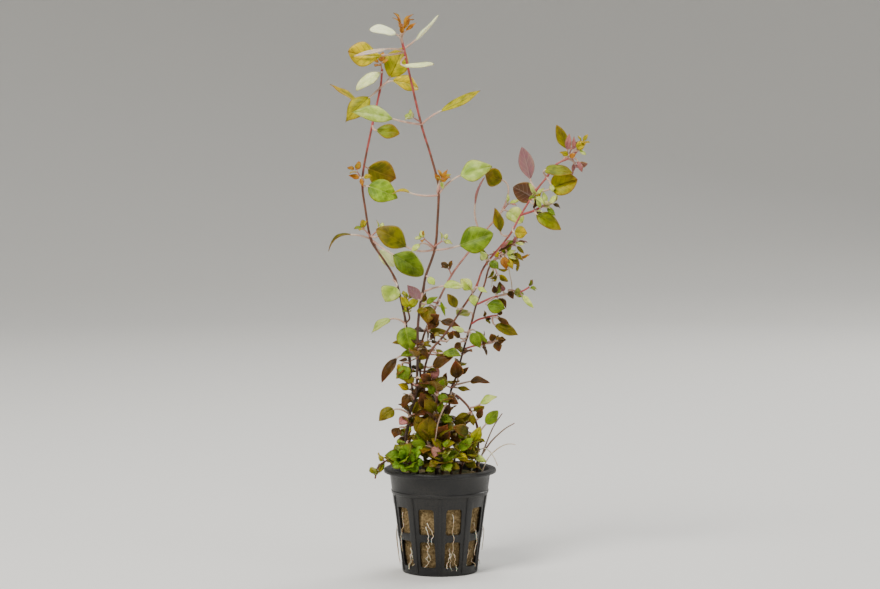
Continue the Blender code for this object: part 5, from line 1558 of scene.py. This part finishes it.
def net_pot_tree():
    """The cup with ribs on its wall, windows between them and slots in its floor"""
    inputs = {"Cup": "shape", "Window width": "float", "Window height": "float", "Columns": "int",
              "Low row": "float", "High row": "float", "Slots": "int", "Finish": "finish"}
    tree, given, out = new_tree("net_pot", "GeometryNodeTree", inputs, {"Pot": "shape"})
    block = rounded_block(
        tree, given["Window height"], given["Window width"], WINDOW_CORNER * MM, WINDOW_DEPTH * MM)
    window = shaped(tree, "Transform", geometry=block, rotation=(0, pi / 2, 0))
    rows = [round_array(tree, window, given["Columns"], 0.0, given[row]) for row in ("Low row", "High row")]
    slot = rounded_block(
        tree, FLOOR_SLOT[0] * MM, FLOOR_SLOT[1] * MM, SLOT_CORNER * MM, SLOT_DEPTH * MM)
    slot = shaped(tree, "Transform", geometry=slot, translation=(0, 0, -SLOT_DEPTH / 2 * MM))
    slots = round_array(tree, slot, given["Slots"], FLOOR_SLOT_RADIUS * MM, 0.0)
    lean = (POT_TOP_RADIUS - POT_FOOT_RADIUS) / POT_HEIGHT
    bar = shaped(tree, "MeshCube", size=(RIB_DEPTH * MM, RIB_WIDTH * MM, RIB_HEIGHT * MM))
    middle = RIB_HEIGHT / 2 + RIB_FOOT
    # A rib stands half a column away from a window
    ribs = round_array(tree, bar, given["Columns"], (pot_radius(middle) - RIB_SUNK) * MM, middle * MM, lean,
                       0.5 / WINDOW_COLUMNS)
    ribbed = boolean(tree, "UNION", given["Cup"], ribs)
    pot = painted(tree, boolean(tree, "DIFFERENCE", ribbed, *rows, slots), given["Finish"])
    plug(tree, shaped(tree, "RealizeInstances", geometry=pot), out.inputs["Pot"])
    return tree


NET_POT = net_pot_tree()
print("pot tree:", len(NET_POT.nodes), "nodes")

# %% [markdown]
# The plastic is nearly black. Hard water has dried on it in places, and leaves it greyer and duller.

# %% Black plastic
CLEAN_PLASTIC, HARD_WATER = (0.006, 0.006, 0.0065), (0.035, 0.032, 0.028)


def plastic_finish():
    """Moulded black plastic with a fine grain and a dry trace of hard water"""
    material, tree, shader = new_material("pot_plastic", Specular_IOR_Level=0.38)
    spots = placed(tree, MOTTLING, Patch=55.0, Speck=1500.0)
    film = spots["Patches"] * spots["Specks"]
    plug(tree, mix(tree, film * 0.5, CLEAN_PLASTIC, HARD_WATER), shader.inputs["Base Color"])
    plug(tree, film * 0.25 + 0.36, shader.inputs["Roughness"])
    bumped(tree, shader, spots["Specks"], 0.25, 0.00008)
    return material


PLASTIC = plastic_finish()
print("plastic finish:", PLASTIC.name)

# %% [markdown]
# The cup's outline runs from the middle of its foot up its outer side, round a stiffening band and the
# rim, and down its inner side to the middle of its floor.

# %% The pot
under_rim = POT_HEIGHT - RIM_DEPTH
outline = [
    (0, 0), (POT_FOOT_RADIUS - 0.5, 0), (POT_FOOT_RADIUS - 0.1, 0.15), (pot_radius(0.6), 0.6),
    (pot_radius(38.0), 38.0), (pot_radius(38.2) + 0.35, 38.3), (pot_radius(39.6) + 0.35, 39.6),
    (pot_radius(39.8), 39.8), (pot_radius(47.2), 47.2), (pot_radius(48) + 0.5, under_rim),
    (RIM_RADIUS - 0.5, under_rim), (RIM_RADIUS - 0.1, under_rim + 0.15), (RIM_RADIUS, under_rim + 0.5),
    (RIM_RADIUS, POT_HEIGHT - 0.6), (RIM_RADIUS - 0.2, POT_HEIGHT - 0.2), (RIM_RADIUS - 0.6, POT_HEIGHT),
    (pot_radius(50) - POT_WALL + 0.7, POT_HEIGHT), (pot_radius(50) - POT_WALL + 0.2, POT_HEIGHT - 0.2),
    (pot_radius(49.4) - POT_WALL, POT_HEIGHT - 0.6), (pot_radius(2.2) - POT_WALL, 2.2),
    (pot_radius(POT_FLOOR) - POT_WALL - 0.6, POT_FLOOR), (0, POT_FLOOR)]
values = {
    "Window width": WINDOW_SIZE[0] * MM, "Window height": WINDOW_SIZE[1] * MM, "Columns": WINDOW_COLUMNS,
    "Low row": WINDOW_CENTRES[0] * MM, "High row": WINDOW_CENTRES[1] * MM, "Slots": FLOOR_SLOTS,
    "Finish": PLASTIC}
pot = made_by(NET_POT, "net_pot", turned("cup", outline, POT_SIDES), values)
print("pot with sharp edges:", len(pot.data.polygons), "faces")

# %% [markdown]
# Moulded edges catch the light because they are slightly round. A bevel rounds the sharp ones, also
# those that the windows have cut.

# %% Rounded edges of the pot
modifier = pot.modifiers.new("rounded edges", "BEVEL")
modifier.width = 0.22 * MM
modifier.segments = 2
modifier.limit_method = "ANGLE"
modifier.angle_limit = radians(38)
mesh = plain_mesh(pot)
pot.modifiers.clear()
pot.data = mesh
for face in pot.data.polygons:
    face.use_smooth = True
pot.data.set_sharp_from_angle(angle=radians(34))
add_piece(pot, "pot")
print("pot:", len(pot.data.polygons), "faces")

# %% [markdown]
# ## Stone wool
# The pot is stuffed with stone wool: felted mineral fibre, pale brown, with green algae on its top. A
# lumpy plug gives its body. Thousands of fine hairs make it look felted, where a bump alone would stay
# smooth at the outline.

# %% Colours of the wool
# Dark and light fibres, green algae on top, and the wet foot
FIBRES = ((0.115, 0.075, 0.030), (0.24, 0.17, 0.08))
ALGAE = (0.035, 0.048, 0.008)
WET_WOOL = (0.05, 0.032, 0.014)


def wool_finish():
    """Dull fibre, green near its top and dark near its foot"""
    material, tree, shader = new_material("stone_wool", Roughness=0.95, Specular_IOR_Level=0.2)
    spots = placed(tree, MOTTLING, Patch=150.0, Speck=900.0)
    height = Way(tree, add_node(tree, "ShaderNodeTexCoord").outputs["Object"]).parts()[2]
    algae = height.ramp(0.0425, 0.0475) * (spots["Patches"] * 0.7 + 0.25)
    brown = mix(tree, algae, mix(tree, spots["Specks"], *FIBRES), ALGAE)
    brown = mix(tree, (1 - height.ramp(0.0, 0.03)) * 0.4, brown, WET_WOOL)
    plug(tree, brown, shader.inputs["Base Color"])
    bumped(tree, shader, spots["Specks"], 0.6, 0.0003)
    return material


WOOL_SKIN = wool_finish()
print("wool finish:", WOOL_SKIN.name)

# %% [markdown]
# The tree scatters points over the plug and lays a bowed hair on each, turned, bent and sized at
# random from one fixed seed.

# %% The tree that felts the wool
WOOL_INPUTS = {"Plug": "shape", "Lumps": "float", "Hairs": "float", "Hair length": "float", "Seed": "int",
               "Finish": "finish"}
# Start, middle and end of a hair of unit length, and its radius
HAIR = {"start": (-0.5, 0, 0.02), "middle": (0, 0.25, 0.12), "end": (0.5, 0, 0.03)}
HAIR_RADIUS = 0.016
# Ranges that a hair's angle, bow and size are drawn from
HAIR_RANGES = ((0.0, tau), (-0.35, 0.35), (0.4, 1.0))


def random_number(tree, seed, low, high):
    """A number drawn at random for each point"""
    node = add_node(tree, "FunctionNodeRandomValue", {"data_type": "FLOAT"}, min=low, max=high, seed=seed)
    return Number(tree, next(socket for socket in node.outputs if socket.enabled))


def wool_tree():
    """The plug with lumps, and fine hairs lying all ways on its skin"""
    tree, given, out = new_tree("felted_wool", "GeometryNodeTree", WOOL_INPUTS, {"Wool": "shape"})
    normal = Way(tree, shaped(tree, "InputNormal"))
    lumps = add_node(tree, "ShaderNodeTexNoise", scale=260.0, detail=4.0)
    push = normal * ((Number(tree, lumps.outputs[0]) - 0.62) * given["Lumps"])
    lumpy = shaped(tree, "SetPosition", geometry=given["Plug"], offset=push)
    scatter = add_node(tree, "GeometryNodeDistributePointsOnFaces", mesh=lumpy, density=given["Hairs"],
                       seed=given["Seed"])
    angle, bow, size = (random_number(tree, given["Seed"] + number, low, high)
                        for number, (low, high) in enumerate(HAIR_RANGES, 1))
    line = shaped(tree, "CurveQuadraticBezier", resolution=3, **HAIR)
    hair = shaped(tree, "CurveToMesh", curve=line, profile_curve=ring(tree, 3, HAIR_RADIUS))
    flat = add_node(tree, "FunctionNodeAlignRotationToVector", {"axis": "Z"},
                    vector=scatter.outputs["Normal"])
    spun = add_node(tree, "FunctionNodeEulerToRotation", euler=combined(tree, y=bow, z=angle))
    turn = add_node(tree, "FunctionNodeRotateRotation", {"rotation_space": "LOCAL"}, rotation=flat.outputs[0],
                    rotate_by=spun.outputs[0])
    thick = given["Hair length"] * 0.8
    stretch = combined(tree, x=given["Hair length"] * size, y=thick, z=thick)
    hairs = shaped(tree, "InstanceOnPoints", points=scatter.outputs[0], instance=hair,
                   rotation=turn.outputs[0], scale=stretch)
    both = joined_shapes(tree, lumpy, shaped(tree, "RealizeInstances", geometry=hairs))
    smooth = shaped(tree, "SetShadeSmooth", geometry=both)
    plug(tree, painted(tree, smooth, given["Finish"]), out.inputs["Wool"])
    return tree


WOOL = wool_tree()
print("wool tree:", len(WOOL.nodes), "nodes")

# %% [markdown]
# The plug fills the pot but for a narrow gap, and its top edge is rounded where it has been pressed in.

# %% The plug of wool
WOOL_FOOT = POT_FLOOR + GAP
WOOL_CLEARANCE = POT_WALL + GAP + 0.1
# How deep the round edge of the top is, and the rings up the side and across the top
WOOL_EDGE = 1.8
SIDE_RINGS, TOP_RINGS = 44, 18


def wool_radius(height):
    """The radius of the wool at a height"""
    return pot_radius(height) - WOOL_CLEARANCE


edge = WOOL_TOP - WOOL_EDGE
outline = [(wool_radius(WOOL_FOOT) * share, WOOL_FOOT) for share in (0.0, 0.35, 0.7, 1.0)]
heights = [WOOL_FOOT + (edge - WOOL_FOOT) * i / SIDE_RINGS for i in range(1, SIDE_RINGS + 1)]
outline += [(wool_radius(height), height) for height in heights]
outline += [(wool_radius(edge) * (1 - i / TOP_RINGS), WOOL_TOP - WOOL_EDGE * (1 - min(i / 3, 1)) ** 2)
            for i in range(1, TOP_RINGS + 1)]
values = {"Lumps": 1.5 * MM, "Hairs": 700000.0, "Hair length": 2.4 * MM, "Seed": 5, "Finish": WOOL_SKIN}
wool = made_by(WOOL, "stone_wool_skin", turned("plug", outline, 110), values)
add_piece(wool, "stone_wool")
print("stone wool:", len(wool.data.polygons), "faces")

# %% [markdown]
# ## White roots
# Fresh roots push out through the windows of the pot and hang down along it, and a few short ones hang
# higher up. Each is a thin line that wanders a little, made by the tube tree.

# %% Roots
ROOT_COLOURS = ((0.62, 0.56, 0.44), (0.40, 0.30, 0.17))
# A root loses this much of its thickness on its way down, and lies this far outside the wall
ROOT_TAPER = 0.45
ROOT_GAP = 0.75
ROOT_STEPS = 16


def root_finish():
    """Nearly white and slightly waxy, browner in patches"""
    material, tree, shader = new_material(
        "white_root", Roughness=0.42, Subsurface_Weight=0.3, Subsurface_Scale=0.0006, Specular_IOR_Level=0.45)
    spots = placed(tree, MOTTLING, Patch=240.0, Speck=1500.0)
    plug(tree, mix(tree, spots["Patches"], *ROOT_COLOURS), shader.inputs["Base Color"])
    return material


WHITE_ROOT = root_finish()
root_draw = random.Random(41)


def pot_root(column, row, thickness):
    """A root that leaves the wool in a window and hangs down outside the wall"""
    angle = tau * column / WINDOW_COLUMNS + root_draw.uniform(-0.1, 0.1)
    height = WINDOW_CENTRES[row] + root_draw.uniform(-4.0, 4.5)
    low = root_draw.uniform(1.2, 0.75 * height)
    window_foot = WINDOW_CENTRES[row] - WINDOW_SIZE[1] / 2
    line = []
    radius = None
    for step in range(ROOT_STEPS + 1):
        share = step / ROOT_STEPS
        z = height + (low - height) * share
        # It lies on the wool in the window, and bends out over the wall below it
        outside = pot_radius(z) + ROOT_GAP if z < window_foot + 1.5 else wool_radius(z) + 0.3
        radius = outside if radius is None else radius + (outside - radius) * 0.5
        angle += root_draw.uniform(-0.03, 0.03)
        if not line:
            inside = wool_radius(height) - 1.5
            line.append((Vector((inside * cos(angle), inside * sin(angle), height)), thickness, 0.0, 1.0))
        place = Vector((radius * cos(angle), radius * sin(angle), z))
        line.append((place, thickness * (1 - ROOT_TAPER * share), 0.0, 1.0))
    return line


def hanging_root(points, thickness, steps=13):
    """A short root through a few points"""
    line = smooth_line(points, steps + 1)
    return [(point, thickness * (1 - 0.4 * i / steps), 0.0, 1.0) for i, point in enumerate(line)]


roots = [pot_root(column, row, root_draw.uniform(0.16, 0.3))
         for column in range(WINDOW_COLUMNS) for row in (0, 1) for _ in range(root_draw.choice((1, 2, 2, 3)))]
# Roots in the air: two over the pot's rim and two threads under a crowded node
AIR_ROOTS = [
    ((19, -9, 47), (23, -10, 56), (28, -11, 61), (32.4, -11.5, 63), (36, -11, 62.6)),
    ((15, -9, 50), (19, -11, 60), (22.6, -12, 60.4), (25.6, -13.5, 57), (27.4, -15, 53)),
    ((24.6, 14.6, 148), (25.2, 14, 145), (25.4, 13.8, 141), (24.8, 13.6, 136)),
    ((33, 14.8, 150), (33.4, 14, 144), (34.4, 13.6, 139), (34.8, 13.4, 135))]
roots += [hanging_root(points, 0.38) for points in AIR_ROOTS]
all_roots = tubes("roots", roots, 6, WHITE_ROOT)
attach(all_roots, "root")
print("roots:", len(roots))

# %% [markdown]
# Old shoots without leaves stay on as thin brown twigs: a forked one at the right of the foot, and a
# thread that hangs down in front of it.

# %% Bare twigs
TWIGS = [
    ((17, 5, 46), (20.4, 5, 56), (25.4, 4.5, 68.6), (30, 4, 75.8)),
    ((20.4, 5, 56), (25, 3.5, 62.6), (31, 2, 68.4), (35.8, 1, 71.4)),
    ((5.4, 0, 86.5), (4.6, -12, 84.6), (1.6, -17.5, 80.4), (-0.8, -18.5, 74.4), (-2, -18, 67), (-3, -14, 61))]
# Radius at the start, what is lost at each of its points, age and paleness
BARE_RADIUS, BARE_LOSS, BARE_AGE, BARE_PALENESS = 0.5, 0.016, 0.55, 0.35
twig_lines = [
    [(point, BARE_RADIUS - BARE_LOSS * number, BARE_AGE, BARE_PALENESS)
     for number, point in enumerate(smooth_line(points, 16))]
    for points in TWIGS]
twigs = tubes("bare_twigs", twig_lines, 8, STEM_SKIN)
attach(twigs, "root")
print("bare twigs:", len(TWIGS))

# %% [markdown]
# ## Floor, light and camera
# A wide bowl gives a floor that rises into a backdrop without an edge, from every side. Large soft
# lamps from the front left and above show the gloss of the leaves without hard shadows.

# %% Floor
# In metres: the flat floor's radius, the radius of the bend round it, and the bowl's height
FLOOR_RADIUS, BEND, BOWL_HEIGHT = 1.4, 1.6, 3.0
BEND_STEPS = 12
FLOOR_SIDES = 96
angles = [pi / 2 * step / BEND_STEPS for step in range(1, BEND_STEPS + 1)]
profile = [(0.0, 0.0), (FLOOR_RADIUS, 0.0)]
profile += [(FLOOR_RADIUS + BEND * sin(angle), BEND * (1 - cos(angle))) for angle in angles]
profile += [(FLOOR_RADIUS + BEND, BOWL_HEIGHT)]
outline = [(radius / MM, height / MM) for radius, height in profile]
bowl = scene_object("studio_floor", turned("studio_floor", outline, FLOOR_SIDES))
# The inside of the bowl is its front
bowl.data.flip_normals()
for face in bowl.data.polygons:
    face.use_smooth = True
paper, _, _ = new_material(
    "studio_paper", Base_Color=(0.70, 0.69, 0.66, 1), Roughness=0.9, Specular_IOR_Level=0.1)
bowl.data.materials.append(paper)
print("floor:", round(2 * (FLOOR_RADIUS + BEND), 1), "m wide")

# %% Lights
# The middle of the plant, in metres
MIDDLE = Vector((0, 0, 0.13))


def lamp(name, place, size, power, colour):
    """A square soft lamp that shines on the middle of the plant"""
    light = bpy.data.lights.new(name, "AREA")
    light.size = size
    light.energy = power
    light.color = colour
    obj = scene_object(name, light)
    obj.location = place
    obj.rotation_euler = (MIDDLE - Vector(place)).to_track_quat("-Z", "Y").to_euler()


lamp("key_lamp", (-0.6, -0.9, 1.3), 0.5, 30, (1.0, 0.98, 0.94))
lamp("fill_lamp", (1.2, -0.9, 0.6), 0.9, 6, (0.94, 0.97, 1.0))
lamp("top_lamp", (0.1, 0.3, 1.5), 0.7, 16, (1.0, 1.0, 1.0))
lamp("rim_lamp", (0.9, 1.1, 0.8), 0.6, 10, (1.0, 0.99, 0.96))
world = bpy.data.worlds.new("studio_air")
world.use_nodes = True
sky = world.node_tree.nodes["Background"]
sky.inputs["Color"].default_value = (0.86, 0.86, 0.86, 1)
sky.inputs["Strength"].default_value = 0.22
bpy.context.scene.world = world
print("lamps:", len(bpy.data.lights))

# %% [markdown]
# A long lens from some way off shows the plant nearly without perspective, slightly from above.

# %% Camera
AIM_HEIGHT = 0.1335
DISTANCE = 1.4
ELEVATION = radians(4.5)
camera = scene_object("camera", bpy.data.cameras.new("camera"))
camera.data.lens = 119.7
camera.location = (0, -DISTANCE * cos(ELEVATION), AIM_HEIGHT + DISTANCE * sin(ELEVATION))
camera.rotation_euler = (pi / 2 - ELEVATION, 0, 0)
bpy.context.scene.camera = camera
print("camera lens in mm:", round(camera.data.lens, 1))
